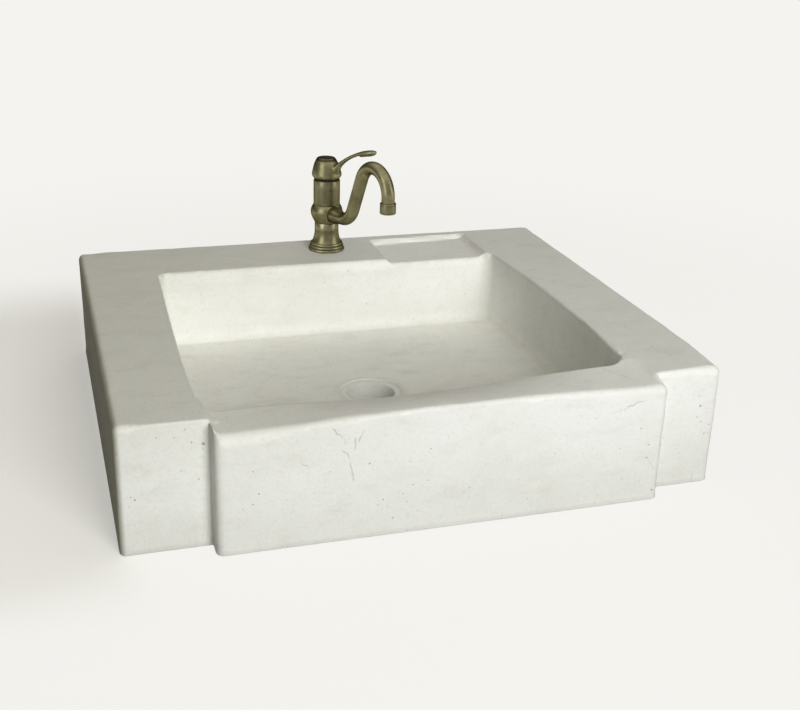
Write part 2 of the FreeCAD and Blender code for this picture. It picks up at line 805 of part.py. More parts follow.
def make_lever_handle():
    pad_start = arm_reach - pad_length
    arm_middle = (arm_root_reach + pad_start) / 2
    arm_end = pad_start + pad_length / 3
    arm_sections = [
        arm_section(arm_root_reach, arm_root_width, arm_root_thickness),
        arm_section(arm_middle, arm_width, arm_thickness),
        arm_section(arm_end, arm_width, arm_thickness),
    ]
    pad_sections = [
        arm_section(pad_start, pad_heel_width, pad_heel_thickness, pad_drop),
        arm_section(pad_start + pad_length / 3, pad_width, pad_thickness, pad_drop),
        arm_section(pad_start + pad_length * 2 / 3, pad_width, pad_thickness, pad_drop),
        arm_section(arm_reach, pad_tip_width, pad_tip_thickness, pad_drop),
    ]
    arm = Part.makeLoft(arm_sections, True, False)
    pad = Part.makeLoft(pad_sections, True, False)
    for piece in (arm, pad):
        piece.rotate(FreeCAD.Vector(0, 0, pivot_height), FreeCAD.Vector(0, -1, 0), arm_lean)
    return make_hub().fuse(arm).fuse(pad).removeSplitter()


def make_handle_screw():
    screw = cylinder(handle_screw_radius, stem_top - handle_screw_length, screw_seat)
    head_top = screw_seat + handle_screw_head_height
    screw = screw.fuse(cylinder(handle_screw_head_radius, screw_seat, head_top))
    return screw.removeSplitter()


def make_index_cap():
    steps = [
        (0.0, index_cap_bottom),
        (index_cap_radius, index_cap_bottom),
        (index_cap_radius, hub_top),
        (index_cap_radius - index_cap_proud, index_cap_top),
        (0.0, index_cap_top),
    ]
    return turned(steps)


fixed_pieces = {
    "foot_column": make_foot_column(),
    "foot_gasket": make_foot_gasket(),
    "mounting_shank": make_mounting_shank(),
    "rubber_washer": make_rubber_washer(),
    "clamp_washer": make_clamp_washer(),
    "back_nut": make_back_nut(),
    "lower_slip_ring": make_lower_slip_ring(),
    "upper_slip_ring": make_upper_slip_ring(),
    "spout_seal_lower": make_spout_seal(spout_height - spout_seal_offset),
    "spout_seal_upper": make_spout_seal(spout_height + spout_seal_offset),
    "cartridge_barrel": make_cartridge_barrel(),
    "cartridge_housing": make_cartridge_housing(),
    "cartridge_base": make_cartridge_base(),
    "cartridge_base_seals": make_cartridge_base_seals(),
    "fixed_ceramic_disc": make_fixed_ceramic_disc(),
    "cartridge_nut": make_cartridge_nut(),
    "cover_ring": make_cover_ring(),
}
spout_pieces = {
    "swivel_collar": make_swivel_collar(),
    "spout_tube": make_spout_tube(),
    "aerator_housing": make_aerator_housing(),
    "aerator_seal": make_aerator_seal(),
    "aerator_insert": make_aerator_insert(),
}
lever_pieces = {
    "stem_carrier": make_stem_carrier(),
    "pivot_pin": make_pivot_pin(),
    "moving_ceramic_disc": make_moving_ceramic_disc(),
    "disc_driver": make_disc_driver(),
    "cartridge_stem": make_cartridge_stem(),
    "lever_handle": make_lever_handle(),
    "handle_screw": make_handle_screw(),
    "index_cap": make_index_cap(),
}

pieces = {"basin_block": make_basin_block()}
for name, shape in fixed_pieces.items():
    pieces[name] = on_deck(shape)
for name, shape in spout_pieces.items():
    pieces[name] = on_deck(shape, spout_azimuth)
for name, shape in lever_pieces.items():
    pieces[name] = on_deck(shape, lever_azimuth)

os.makedirs("parts", exist_ok=True)
for name, shape in pieces.items():
    shape.exportStep("parts/" + name + ".step")
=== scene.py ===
import math
import bmesh
import bpy
import numpy as np
from mathutils import Matrix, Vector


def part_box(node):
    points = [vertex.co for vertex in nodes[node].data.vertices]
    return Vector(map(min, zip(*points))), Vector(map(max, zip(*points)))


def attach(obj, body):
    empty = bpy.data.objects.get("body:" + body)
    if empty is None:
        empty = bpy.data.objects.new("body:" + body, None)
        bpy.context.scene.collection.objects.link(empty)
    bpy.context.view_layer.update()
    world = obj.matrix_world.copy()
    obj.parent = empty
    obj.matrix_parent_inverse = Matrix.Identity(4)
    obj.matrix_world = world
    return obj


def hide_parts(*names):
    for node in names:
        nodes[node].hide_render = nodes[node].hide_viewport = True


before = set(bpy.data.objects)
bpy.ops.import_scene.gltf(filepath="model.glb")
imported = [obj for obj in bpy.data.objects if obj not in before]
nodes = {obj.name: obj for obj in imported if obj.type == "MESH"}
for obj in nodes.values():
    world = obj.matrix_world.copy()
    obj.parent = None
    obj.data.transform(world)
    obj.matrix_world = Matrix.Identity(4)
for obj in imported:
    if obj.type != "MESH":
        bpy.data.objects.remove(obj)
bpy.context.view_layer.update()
scene = bpy.context.scene
mm = 0.001
quarter = math.pi / 2
samePlace = 1e-7


# Smooth noise between about -1 and 1: a random slope at each lattice point, blended by 6t^5 - 15t^4 + 10t^3
def softNoise(points, cell, seed, kinds=1024, gain=1.7):
    slopes = np.random.default_rng(seed).normal(size=(kinds, 3))
    slopes /= np.linalg.norm(slopes, axis=1, keepdims=True)
    place = points / cell
    low = np.floor(place).astype(np.int64)
    part = place - low
    ease = part ** 3 * (part * (part * 6 - 15) + 10)
    total = np.zeros(points.shape[:-1])
    for corner in np.ndindex(2, 2, 2):
        mixed = (low + corner) @ np.array([73856093, 19349663, 83492791])
        slope = slopes[(mixed ^ (mixed >> 11)) & (kinds - 1)]
        weight = np.where(np.array(corner) == 1, ease, 1 - ease).prod(axis=-1)
        total += weight * ((part - corner) * slope).sum(axis=-1)
    return total * gain


# Rises smoothly from 0 at low to 1 at high
def ramp(value, low, high):
    t = np.clip((value - low) / (high - low), 0, 1)
    return t * t * (3 - 2 * t)


# Two rows of numbers as one list of points in a plane
def paired(first, second):
    return np.stack([first, second], axis=1)


# Outward normals of a grid of points that closes both ways, from the cross product of its two directions
def gridNormals(points):
    down, across = (np.roll(points, -1, axis) - np.roll(points, 1, axis) for axis in (0, 1))
    normals = np.cross(across, down)
    return normals / np.maximum(np.linalg.norm(normals, axis=-1, keepdims=True), 1e-12)


def linked(name, data):
    made = bpy.data.objects.new(name, data)
    scene.collection.objects.link(made)
    return made


# Puts a grid of points (rows by columns, in mm) into a mesh object of quads
def gridObject(name, points, closeV=False, closeU=False):
    rows, columns = points.shape[:2]
    index = np.arange(rows * columns).reshape(rows, columns)
    if closeV:
        index = np.vstack([index, index[:1]])
    if closeU:
        index = np.hstack([index, index[:, :1]])
    quads = np.stack([index[:-1, :-1], index[:-1, 1:], index[1:, 1:], index[1:, :-1]], axis=-1)
    mesh = bpy.data.meshes.new(name)
    mesh.from_pydata((points.reshape(-1, 3) * mm).tolist(), [], quads.reshape(-1, 4).tolist())
    mesh.shade_smooth()
    return linked(name, mesh)


# Stores one number for each point of a mesh, for its material to read
def storeValues(piece, name, values):
    layer = piece.data.attributes.new(name, "FLOAT", "POINT")
    layer.data.foreach_set("value", np.ascontiguousarray(values, dtype=np.float32).ravel())


def pointsOf(piece):
    points = np.empty(len(piece.data.vertices) * 3)
    piece.data.vertices.foreach_get("co", points)
    return points.reshape(-1, 3) / mm


# Joins points that lie in the same place, such as those at a pole
def mergeDoubles(piece):
    work = bmesh.new()
    work.from_mesh(piece.data)
    bmesh.ops.remove_doubles(work, verts=work.verts, dist=samePlace)
    work.to_mesh(piece.data)
    work.free()


# Stores where a surface bends in (hollow) or out (edge): the mean over a point's neighbours of
# 2 (offset . normal) / length^2, which is its curvature, evened out a few times and scaled to 0..1
def storeCreases(piece, hollowAt=0.25, edgeAt=0.35, rounds=2, leastSquare=0.01):
    mesh = piece.data
    count, links = len(mesh.vertices), len(mesh.edges)
    points, normals, pairs = pointsOf(piece), np.empty(count * 3), np.empty(links * 2, dtype=np.int64)
    mesh.vertex_normals.foreach_get("vector", normals)
    mesh.edges.foreach_get("vertices", pairs)
    normals, pairs = normals.reshape(-1, 3), pairs.reshape(-1, 2)
    both = np.concatenate([pairs, pairs[:, ::-1]])
    offset = points[both[:, 1]] - points[both[:, 0]]
    square = np.maximum((offset ** 2).sum(axis=1), leastSquare)
    bend = 2 * (offset * normals[both[:, 0]]).sum(axis=1) / square
    number = np.maximum(np.bincount(both[:, 0], minlength=count), 1)
    curve = np.bincount(both[:, 0], bend, count) / number
    for _ in range(rounds):
        curve = curve / 2 + np.bincount(both[:, 0], curve[both[:, 1]], count) / number / 2
    storeValues(piece, "hollow", np.clip(curve / hollowAt, 0, 1))
    storeValues(piece, "edge", np.clip(-curve / edgeAt, 0, 1))


# A path of straight runs with rounded corners: at each right angle, a quarter circle that touches both runs
def roundedPath(corners, radii, arcPoints=17):
    corners = np.array(corners, float)
    share = np.linspace(0, 1, arcPoints)[:, None]
    path = [corners[:1]]
    for before, here, after, radius in zip(corners[:-2], corners[1:-1], corners[2:], radii):
        inward, onward = ((end - here) / np.linalg.norm(end - here) for end in (before, after))
        arm = inward * share + onward * (1 - share)
        path.append(here + (inward + onward - arm / np.linalg.norm(arm, axis=1, keepdims=True)) * radius)
    return np.vstack([*path, corners[-1:]])


# Points along a path, spaced by length, with its short steps (the rounded corners) counted several times
def spreadAlong(path, count, cornerWeight=3.0, shortStep=2.5):
    steps = np.linalg.norm(np.diff(path, axis=0), axis=1)
    weight = np.where(steps < shortStep, steps * cornerWeight, steps)
    travel = np.concatenate([[0], np.cumsum(weight)])
    wanted = np.linspace(0, travel[-1], count, endpoint=False)
    return np.stack([np.interp(wanted, travel, path[:, axis]) for axis in (0, 1)], axis=1)


stoneLow, stoneHigh = (np.array(corner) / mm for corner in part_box("basin_block"))
stone = {
    "edgeRound": 3.2, "leftRound": 8.0, "leftRun": (12, 40), "wornRound": 10.0, "wornRun": (15, 90),
    "apronRound": 9.5, "bottomRound": 1.2, "notchRound": 1.4, "plainCorner": 8.0, "wornCorner": 9.0,
    "apronEdgeX": (-252, -207, -150, -70, 60, 140, 229, 268), "apronEdge": (14, 12.5, 9, 6.5, 6, 7, 9, 11),
    "apronEndX": (150, 200), "apronEndY": (-6, 12), "roundWander": 0.22, "wanderCell": 33.0, "wanderSeed": 5,
    "apronLeft": -252.0, "apronRight": 268.0, "apronProud": 26.0,
    "basinLeft": -248.0, "basinRight": 242.0, "basinFront": -245.0, "basinBack": 195.0,
    "basinCorner": 14.0, "basinLean": 6.0, "floorHeight": 42.0, "floorRound": 6.0, "floorFall": 3.0,
    "shiftAt": (0, 0.12, 0.3, 0.5, 0.7, 0.9, 1), "leftShift": (-8, -9, -9, -7, -4, -1, 0),
    "rightShift": (3, 6, 11, 11, 9, 3, 0), "shiftRun": 150, "rightLean": 0.3,
    "rimRound": 4.0, "frontRimRound": 5.0, "leftCornerMore": 11.0, "rightCornerMore": 13.0,
    "drain": (-3.0, -25.0), "drainHole": 31.0, "drainRebate": 41.0, "rebateDepth": 1.5, "rebateLip": 0.8,
    "soapLeft": 82.0, "soapRight": 236.0, "soapBack": (291.0, 299.0), "soapDepth": 7.0,
    "soapLeftSlope": 5.0, "soapRightSlope": 13.0, "soapRightCurve": 2.2, "soapBackSlope": 6.0,
    "scoopX": (-252, -190, -160, -124, -60, -10, 87, 132, 173, 213, 268),
    "rimDrop": (9.6, 9.2, 9.0, 11.4, 13.8, 13.8, 9.4, 5.4, 3.2, 1.4, 1.0),
    "lipDrop": (11.0, 9.6, 7.0, 4.4, 2.2, 1.0, 0.8, 1.4, 3.0, 4.8, 5.2),
    "scoopStep": 3.0, "scoopSlant": -0.03, "scoopRun": (14.0, 8.0), "scoopEnd": 16.0, "scoopOnDeck": (-20, 5),
    "scoopBack": (40, 90), "scoopBow": 1.8, "scoopPast": 1.1,
    "stations": {"front": 112, "side": 98, "back": 116, "corner": 54},
    "rings": {"under": 8, "side": 26, "deck": 24, "wall": 20, "fillet": 9, "floor": 30},
    "edgeShares": (0.003, 0.009, 0.018, 0.031, 0.048, 0.07), "deckShares": (0.1, 0.9), "filletTurn": 0.6,
}
barrelLow, barrelHigh = (np.array(corner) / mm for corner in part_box("cartridge_barrel"))
tapAxis = (barrelLow[:2] + barrelHigh[:2]) / 2
blockFront = stoneLow[1] + stone["apronProud"]
deckHeight = stoneHigh[2]


# Distance inside a rounded rectangle: positive inside, negative outside
def insideRectangle(x, y, left, right, front, back, corner):
    qx = np.abs(x - (left + right) / 2) - (right - left) / 2 + corner
    qy = np.abs(y - (front + back) / 2) - (back - front) / 2 + corner
    return corner - np.hypot(np.maximum(qx, 0), np.maximum(qy, 0)) - np.minimum(np.maximum(qx, qy), 0)


# How far a quarter-round edge has dropped at a distance from the wall: r - sqrt(r^2 - (r - d)^2)
def edgeDrop(distance, radius):
    short = radius - np.clip(distance, 0, radius)
    return radius - np.sqrt(np.maximum(radius ** 2 - short ** 2, 0))


# How far the basin's sides stand off a true rectangle: both bow out, the left one most towards the front
def basinShift(x, y):
    along = np.clip((y - stone["basinFront"]) / (stone["basinBack"] - stone["basinFront"]), 0, 1)
    onLeft, onRight = (np.interp(along, stone["shiftAt"], stone[key]) for key in ("leftShift", "rightShift"))
    return onLeft * (1 - ramp(x, -stone["shiftRun"], 0)) + onRight * ramp(x, 0, stone["shiftRun"])


# Share of a place that belongs to the apron's scooped top: it comes in over a short run at the left notch,
# ends on the deck behind the right one, and fades behind the basin's front
def apronShare(x, y):
    line = stone["apronLeft"] + (y - blockFront) * stone["scoopSlant"]
    run = np.interp(y, (stoneLow[1], stone["basinFront"]), stone["scoopRun"])
    left = ramp(x, line - stone["scoopStep"], line + run)
    onDeck = ramp(y - blockFront, *stone["scoopOnDeck"])
    right = ramp(x - stone["apronRight"], -stone["scoopEnd"], stone["scoopStep"]) * onDeck
    return left * (1 - right) * (1 - ramp(y - stone["basinFront"], *stone["scoopBack"]))


# Radius of the top edge: crisp along the deck, softer on the left and over the apron, worn at the right front
# corner, and a little uneven all along
def edgeRadius(x, y, share):
    left = 1 - ramp(x - stoneLow[0], *stone["leftRun"])
    worn = 1 - ramp(np.hypot(x - stoneHigh[0], y - blockFront), *stone["wornRun"])
    radius = stone["edgeRound"] + (stone["leftRound"] - stone["edgeRound"]) * left
    radius = radius + (stone["wornRound"] - radius) * worn
    apronEnd = ramp(x, *stone["apronEndX"]) * (1 - ramp(y - blockFront, *stone["apronEndY"]))
    apronEdge = np.interp(x, stone["apronEdgeX"], stone["apronEdge"])
    radius = radius + (apronEdge - radius) * np.maximum(share, apronEnd)
    wander = softNoise(np.stack([x, y, 0 * x], axis=-1), stone["wanderCell"], stone["wanderSeed"])
    return radius * (1 + stone["roundWander"] * wander)


# Depth of the soap rest: straight slopes on the left and at the back, a long curved one on the right, open in
# front
def soapHollow(x, y):
    back = np.interp(x, (stone["soapLeft"], stone["soapRight"]), stone["soapBack"])
    fromLeft = ramp(x, stone["soapLeft"], stone["soapLeft"] + stone["soapLeftSlope"])
    toRight = np.clip((stone["soapRight"] - x) / stone["soapRightSlope"], 0, 1)
    toBack = 1 - ramp(y, back - stone["soapBackSlope"], back)
    across = fromLeft * (1 - (1 - toRight) ** stone["soapRightCurve"])
    return stone["soapDepth"] * across * toBack * ramp(y, 0, stone["basinBack"])


# Height of the top face: deck, less the scoop, the soap rest and the rounded edges
def topHeight(x, y):
    share = apronShare(x, y)
    lip, rim = (np.interp(x, stone["scoopX"], stone[key]) for key in ("lipDrop", "rimDrop"))
    inward = np.clip((y - stoneLow[1]) / (stone["basinFront"] - stoneLow[1]), 0, stone["scoopPast"])
    scoop = share * (lip + (rim - lip) * inward ** stone["scoopBow"])
    corner = np.where((x > 0) & (y < 0), stone["wornCorner"], stone["plainCorner"])
    inBlock = insideRectangle(x, y, stoneLow[0], stoneHigh[0], blockFront, stoneHigh[1], corner)
    inApron = insideRectangle(
        x, y, stone["apronLeft"], stone["apronRight"], stoneLow[1], stoneHigh[1], stone["apronRound"])
    more = np.where(x > 0, stone["rightCornerMore"], stone["leftCornerMore"]) * (y < 0)
    outOfBasin = -insideRectangle(
        x - basinShift(x, y), y, stone["basinLeft"], stone["basinRight"],
        stone["basinFront"], stone["basinBack"], stone["basinCorner"] + more)
    rimRound = stone["rimRound"] + (stone["frontRimRound"] - stone["rimRound"]) * share
    drop = edgeDrop(np.maximum(inBlock, inApron), edgeRadius(x, y, share)) + edgeDrop(outOfBasin, rimRound)
    return deckHeight - scoop - soapHollow(x, y) - drop


# Points round the basin, anticlockwise from the front left: straight runs and quarter circles, wider in
# front, moved in by the wall's lean, less of it on the right, and by an inset
def basinLoop(lean, inset, corner):
    left, right = stone["basinLeft"] + lean + inset, stone["basinRight"] - lean * stone["rightLean"] - inset
    front, back = stone["basinFront"] + lean + inset, stone["basinBack"] - lean - inset
    wide, wider = corner + stone["rightCornerMore"], corner + stone["leftCornerMore"]
    count = stone["stations"]
    turns = (("front", right, front, wide), ("side", right, back, corner), ("back", left, back, corner),
             ("side", left, front, wider))
    loop = []
    before = np.array([left + wider, front])
    for number, (side, x, y, radius) in enumerate(turns):
        angle = np.radians(np.linspace(0, 90, count["corner"] + 1) + (number - 1) * 90)
        middle = (x - math.copysign(radius, x), y - math.copysign(radius, y))
        arc = middle + radius * paired(np.cos(angle), np.sin(angle))
        loop += [np.linspace(before, arc[0], count[side], endpoint=False), arc[:-1]]
        before = arc[-1]
    loop = np.vstack(loop)
    loop[:, 0] += basinShift(loop[:, 0], loop[:, 1])
    return loop


# The block's outline with its apron: opposite each side of the basin a straight run, and round each corner
# the path from one side to the next
def blockOutline():
    count, turn = stone["stations"], stone["basinCorner"]
    (left, front), (right, back) = stoneLow[:2], stoneHigh[:2]
    apronLeft, apronRight = stone["apronLeft"], stone["apronRight"]
    sideFront, sideBack = stone["basinFront"] + turn, stone["basinBack"] - turn
    farLeft, farRight = stone["basinLeft"] + turn, stone["basinRight"] - turn
    moreLeft, moreRight = stone["leftCornerMore"], stone["rightCornerMore"]
    plain, apron, notch = stone["plainCorner"], stone["apronRound"], stone["notchRound"]
    frontRight = [(farRight - moreRight, front), (apronRight, front), (apronRight, blockFront),
                  (right, blockFront), (right, sideFront + moreRight)]
    backRight = [(right, sideBack), (right, back), (farRight, back)]
    backLeft = [(farLeft, back), (left, back), (left, sideBack)]
    frontLeft = [(left, sideFront + moreLeft), (left, blockFront), (apronLeft, blockFront),
                 (apronLeft, front), (farLeft + moreLeft, front)]
    sides = (("front", 1, front, frontRight, (apron, notch, stone["wornCorner"])),
             ("side", 0, right, backRight, (plain,)), ("back", 1, back, backLeft, (plain,)),
             ("side", 0, left, frontLeft, (plain, notch, apron)))
    outline = basinLoop(0, 0, turn)
    outline[:count["front"], 0] = np.linspace(
        frontLeft[-1][0], frontRight[0][0], count["front"], endpoint=False)
    start = 0
    for side, axis, wall, path, radii in sides:
        end = start + count[side]
        outline[start:end, axis] = wall
        start = end + count["corner"]
        outline[end:start] = spreadAlong(roundedPath(path, radii), count["corner"])
    return outline


# Rings of points from the drain's lower edge out under the block, up its sides, over the deck, down the
# basin's walls, over its floor and down the drain again
def carveStone():
    outer = blockOutline()
    turn, lean = stone["basinCorner"], stone["basinLean"]
    inner = basinLoop(0, 0, turn)
    along = np.roll(outer, -1, 0) - np.roll(outer, 1, 0)
    facing = paired(along[:, 1], -along[:, 0]) / np.linalg.norm(along, axis=1, keepdims=True)
    drain, hole = np.array(stone["drain"]), stone["drainHole"]
    circle = (outer - drain) / np.linalg.norm(outer - drain, axis=1, keepdims=True)
    count = stone["rings"]
    rings = []

    def ring(place, height):
        rings.append(np.column_stack([place, np.broadcast_to(height, len(place))]))

    bottom = stone["bottomRound"]
    for share in np.linspace(0, 1, count["under"]):
        ring((drain + circle * hole) * (1 - share) + (outer - facing * bottom) * share, 0.0)
    for angle in np.radians((30, 60, 90)):
        ring(outer - facing * bottom * (1 - math.sin(angle)), bottom * (1 - math.cos(angle)))
    edgeHeight = topHeight(outer[:, 0], outer[:, 1])
    for share in np.linspace(0, 1, count["side"])[1:]:
        ring(outer, bottom + (edgeHeight - bottom) * share)
    edgeRow = len(rings)
    edges = np.array(stone["edgeShares"])
    middles = np.linspace(*stone["deckShares"], count["deck"])
    for share in np.concatenate([edges, middles, 1 - edges[::-1], [1.0]]):
        place = outer * (1 - share) + inner * share
        ring(place, topHeight(place[:, 0], place[:, 1]))
    rimRow = len(rings) - 2
    rimHeight = topHeight(inner[:, 0], inner[:, 1])
    floor, fillet = stone["floorHeight"], stone["floorRound"]
    foot = floor + stone["floorFall"]
    for share in np.linspace(0, 1, count["wall"])[1:]:
        ring(basinLoop(lean * share, 0, turn), rimHeight + (foot + fillet - rimHeight) * share)
    for angle in np.radians(np.linspace(0, 90, count["fillet"])[1:]):
        inset = fillet * (1 - math.cos(angle))
        floorEdge = basinLoop(lean, inset, turn - inset * stone["filletTurn"])
        ring(floorEdge, foot + fillet * (1 - math.sin(angle)))
    rebate, lip = stone["drainRebate"], stone["rebateLip"]
    for share in np.linspace(0, 1, count["floor"])[1:]:
        place = floorEdge * (1 - share) + (drain + circle * (rebate + lip)) * share
        ring(place, foot + (floor - foot) * share)
    low = floor - stone["rebateDepth"]
    hollow = [(rebate + lip * 0.4, floor - lip * 0.1), (rebate, floor - lip * 0.6), (rebate - 0.1, low + 0.3),
              (rebate - 0.5, low), (rebate - 3, low), (hole + 3, low), (hole + 1.2, low),
              (hole + 0.4, low - 0.3), (hole, low - 1.2), (hole, low * 0.7), (hole, low * 0.35)]
    for radius, height in hollow:
        ring(drain + circle * radius, height)
    return np.array(rings), edgeRow, rimRow


worn = {
    "waves": ((0.8, 130.0), (0.26, 24.0), (0.10, 8.0)), "waveMean": 0.5, "waveGain": 0.6, "waveMost": 1.2,
    "keepTap": (30.0, 60.0), "keepDrain": (43.0, 75.0), "keepBottom": (0, 6),
    "chips": 70, "chipRadius": (5.0, 11.0), "chipDepth": (0.4, 1.3), "seed": 11,
    "knocks": (
        (-177, -308, 148, 5.0), (212, -246, 152.0, 5.5), (217, -258, 152.6, 5.5), (224, -268, 152.6, 5.0),
        (231, -279, 152.5, 5.0), (250, -192, 153.4, 6.0), (249, -206, 153.2, 6.0), (252, -219, 153.4, 6.0),
        (297, -141, 153.6, 4.5), (303, -222, 153.6, 4.5), (307, -240, 153.8, 4.5)),
}


# Pushes points that lie inside a ball out to its surface, which leaves a round dent
def dent(points, middle, radius):
    away = points - middle
    far = np.linalg.norm(away, axis=-1, keepdims=True)
    return np.where(far < radius, middle + away / np.maximum(far, 1e-6) * radius, points)


# Hand-worked faces: waves of three lengths, only ever inwards, then dents along the edges and at known knocks
def weather(points, edgeRow, rimRow):
    normals = gridNormals(points)
    depth = np.zeros(points.shape[:2])
    for count, (height, cell) in enumerate(worn["waves"]):
        wave = worn["waveMean"] + worn["waveGain"] * softNoise(points, cell, worn["seed"] + count)
        depth += height * np.clip(wave, 0, worn["waveMost"])
    for middle, keep in ((tapAxis, "keepTap"), (stone["drain"], "keepDrain")):
        depth *= ramp(np.linalg.norm(points[..., :2] - middle, axis=-1), *worn[keep])
    depth *= ramp(points[..., 2], *worn["keepBottom"])
    points = points - normals * depth[..., None]
    draw = np.random.default_rng(worn["seed"])
    for row in (edgeRow + 1, rimRow):
        for column in draw.integers(0, points.shape[1], worn["chips"] // 2):
            radius = draw.uniform(*worn["chipRadius"])
            middle = points[row, column] + normals[row, column] * (radius - draw.uniform(*worn["chipDepth"]))
            points = dent(points, middle, radius)
    for knock in worn["knocks"]:
        points = dent(points, np.array(knock[:3]), knock[3])
    return points


print("carving the stone")
stonePoints = weather(*carveStone())
stonePiece = gridObject("carvedStone", stonePoints, True, True)
print("stone", stonePoints.shape)
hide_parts("basin_block")
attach(stonePiece, "sink")


# Tap: pieces are worked out upright and facing +X, then turned to their azimuth and stood on the deck
tap = {
    "axis": tapAxis, "deck": deckHeight, "barrelRadius": (barrelHigh[0] - barrelLow[0]) / 2,
    "spoutAzimuth": 18.0, "leverAzimuth": 35.0, "armLean": 5.0, "pivotHeight": 95.4, "turns": 128,
}


# Lifts about the lever's pivot, turns from +X to an azimuth counted from the front, and stands on the deck
def standing(points, azimuth=90.0, lift=0.0):
    def turned(first, second, degrees):
        cos, sin = math.cos(math.radians(degrees)), math.sin(math.radians(degrees))
        return first * cos - second * sin, first * sin + second * cos
    x, z = turned(points[..., 0], points[..., 2] - tap["pivotHeight"], lift)
    x, y = turned(x, points[..., 1], azimuth - 90.0)
    return np.stack([x, y, z + tap["pivotHeight"]], axis=-1) + np.array([*tap["axis"], tap["deck"]])


# Profile points from a piece's settings: radius and height, each by its name there or as a number
def profileOf(settings, *points):
    return [[settings.get(value, value) for value in point] for point in points]


# A surface turned about an upright axis: each profile point (radius, height) carried round a circle
def turnedGrid(profile, reach=0.0):
    angle = np.linspace(0, 2 * math.pi, tap["turns"], endpoint=False)
    radius, height = profile[:, :1], profile[:, 1:]
    return np.stack([reach + radius * np.cos(angle), radius * np.sin(angle), height + 0 * angle], axis=-1)


# A surface carried along a path in the upright plane: at each point an oval square to the path
def sweptGrid(path, half, above, below, columns=64):
    ahead = np.gradient(path, axis=0)
    ahead /= np.linalg.norm(ahead, axis=1, keepdims=True)
    angle = np.linspace(0, 2 * math.pi, columns, endpoint=False)
    rise = np.where(np.cos(angle) > 0, above[:, None], below[:, None]) * np.cos(angle)
    x = path[:, :1] - rise * ahead[:, 1:]
    z = path[:, 1:] + rise * ahead[:, :1]
    return np.stack([x, -half[:, None] * np.sin(angle), z], axis=-1)


# Keeps what a piece's modifiers make of it as its own mesh
def settle(piece):
    ready = piece.evaluated_get(bpy.context.evaluated_depsgraph_get())
    mesh = bpy.data.meshes.new_from_object(ready)
    piece.modifiers.clear()
    piece.data = mesh


# Relaxes a skin, all of it or a group of its points
def relax(piece, rounds, group=""):
    ease = piece.modifiers.new("ease", "SMOOTH")
    ease.vertex_group = group
    ease.factor = 0.5
    ease.iterations = rounds
    settle(piece)


# Joins shells into one skin: a fine voxel surface round them all, then relaxed
def fused(name, shells, cell, rounds):
    parts = [gridObject(f"{name}.{count}", *shell) for count, shell in enumerate(shells)]
    work = bmesh.new()
    for part in parts:
        work.from_mesh(part.data)
    bmesh.ops.remove_doubles(work, verts=work.verts, dist=samePlace)
    bmesh.ops.recalc_face_normals(work, faces=work.faces)
    mesh = bpy.data.meshes.new(name)
    work.to_mesh(mesh)
    work.free()
    for part in parts:
        bpy.data.objects.remove(part)
    piece = linked(name, mesh)
    skin = piece.modifiers.new("skin", "REMESH")
    skin.mode = "VOXEL"
    skin.voxel_size = cell * mm
    skin.use_smooth_shade = True
    relax(piece, rounds)
    return piece


# What every piece ends with: the body it rides on, and the nodes it stands for, which are hidden
def ends(piece, body, slot, *nodes):
    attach(piece, body)
    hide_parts(*nodes)
    return piece


tapHole = {"hole": 17.5, "pocket": 36.0, "pocketTop": 110.0, "past": 6.0, "sharpFrom": 38.0}


# The tap's hole and the wider pocket under it: a stepped round cutter, taken away from the stone
def boreTapHole():
    bottom, top = -tapHole["past"], deckHeight + tapHole["past"]
    profile = np.array(profileOf(
        tapHole, (0, bottom), ("pocket", bottom), ("pocket", "pocketTop"), ("hole", "pocketTop"),
        ("hole", top), (0, top)))
    cutter = gridObject("cutter", turnedGrid(profile) + np.array([*tapAxis, 0]), False, True)
    mergeDoubles(cutter)
    cut = stonePiece.modifiers.new("tapHole", "BOOLEAN")
    cut.operation = "DIFFERENCE"
    cut.solver = "MANIFOLD"
    cut.object = cutter
    settle(stonePiece)
    bpy.data.objects.remove(cutter)
    stonePiece.data.shade_smooth()
    stonePiece.data.set_sharp_from_angle(angle=math.radians(tapHole["sharpFrom"]))


foot = {"radius": 25.5, "bead": 4.0, "beadHalf": 0.48, "step": 1.3, "sunk": 0.25, "bulge": 0.9, "beads": 3,
        "waist": 17.65, "flareFrom": 1.0, "flareEnter": 0.6, "flareCurve": (0.8, 1.15), "flareTop": 31.0,
        "height": 42.3, "eased": 0.3, "spigot": 15.5, "spigotTop": 69.0, "nose": 13.0, "noseTop": 75.0,
        "bore": 9.0, "socket": 16.6, "socketTop": 10.0, "gasketIn": 19.95, "gasketOut": 23.55,
        "gasketTop": 2.05}


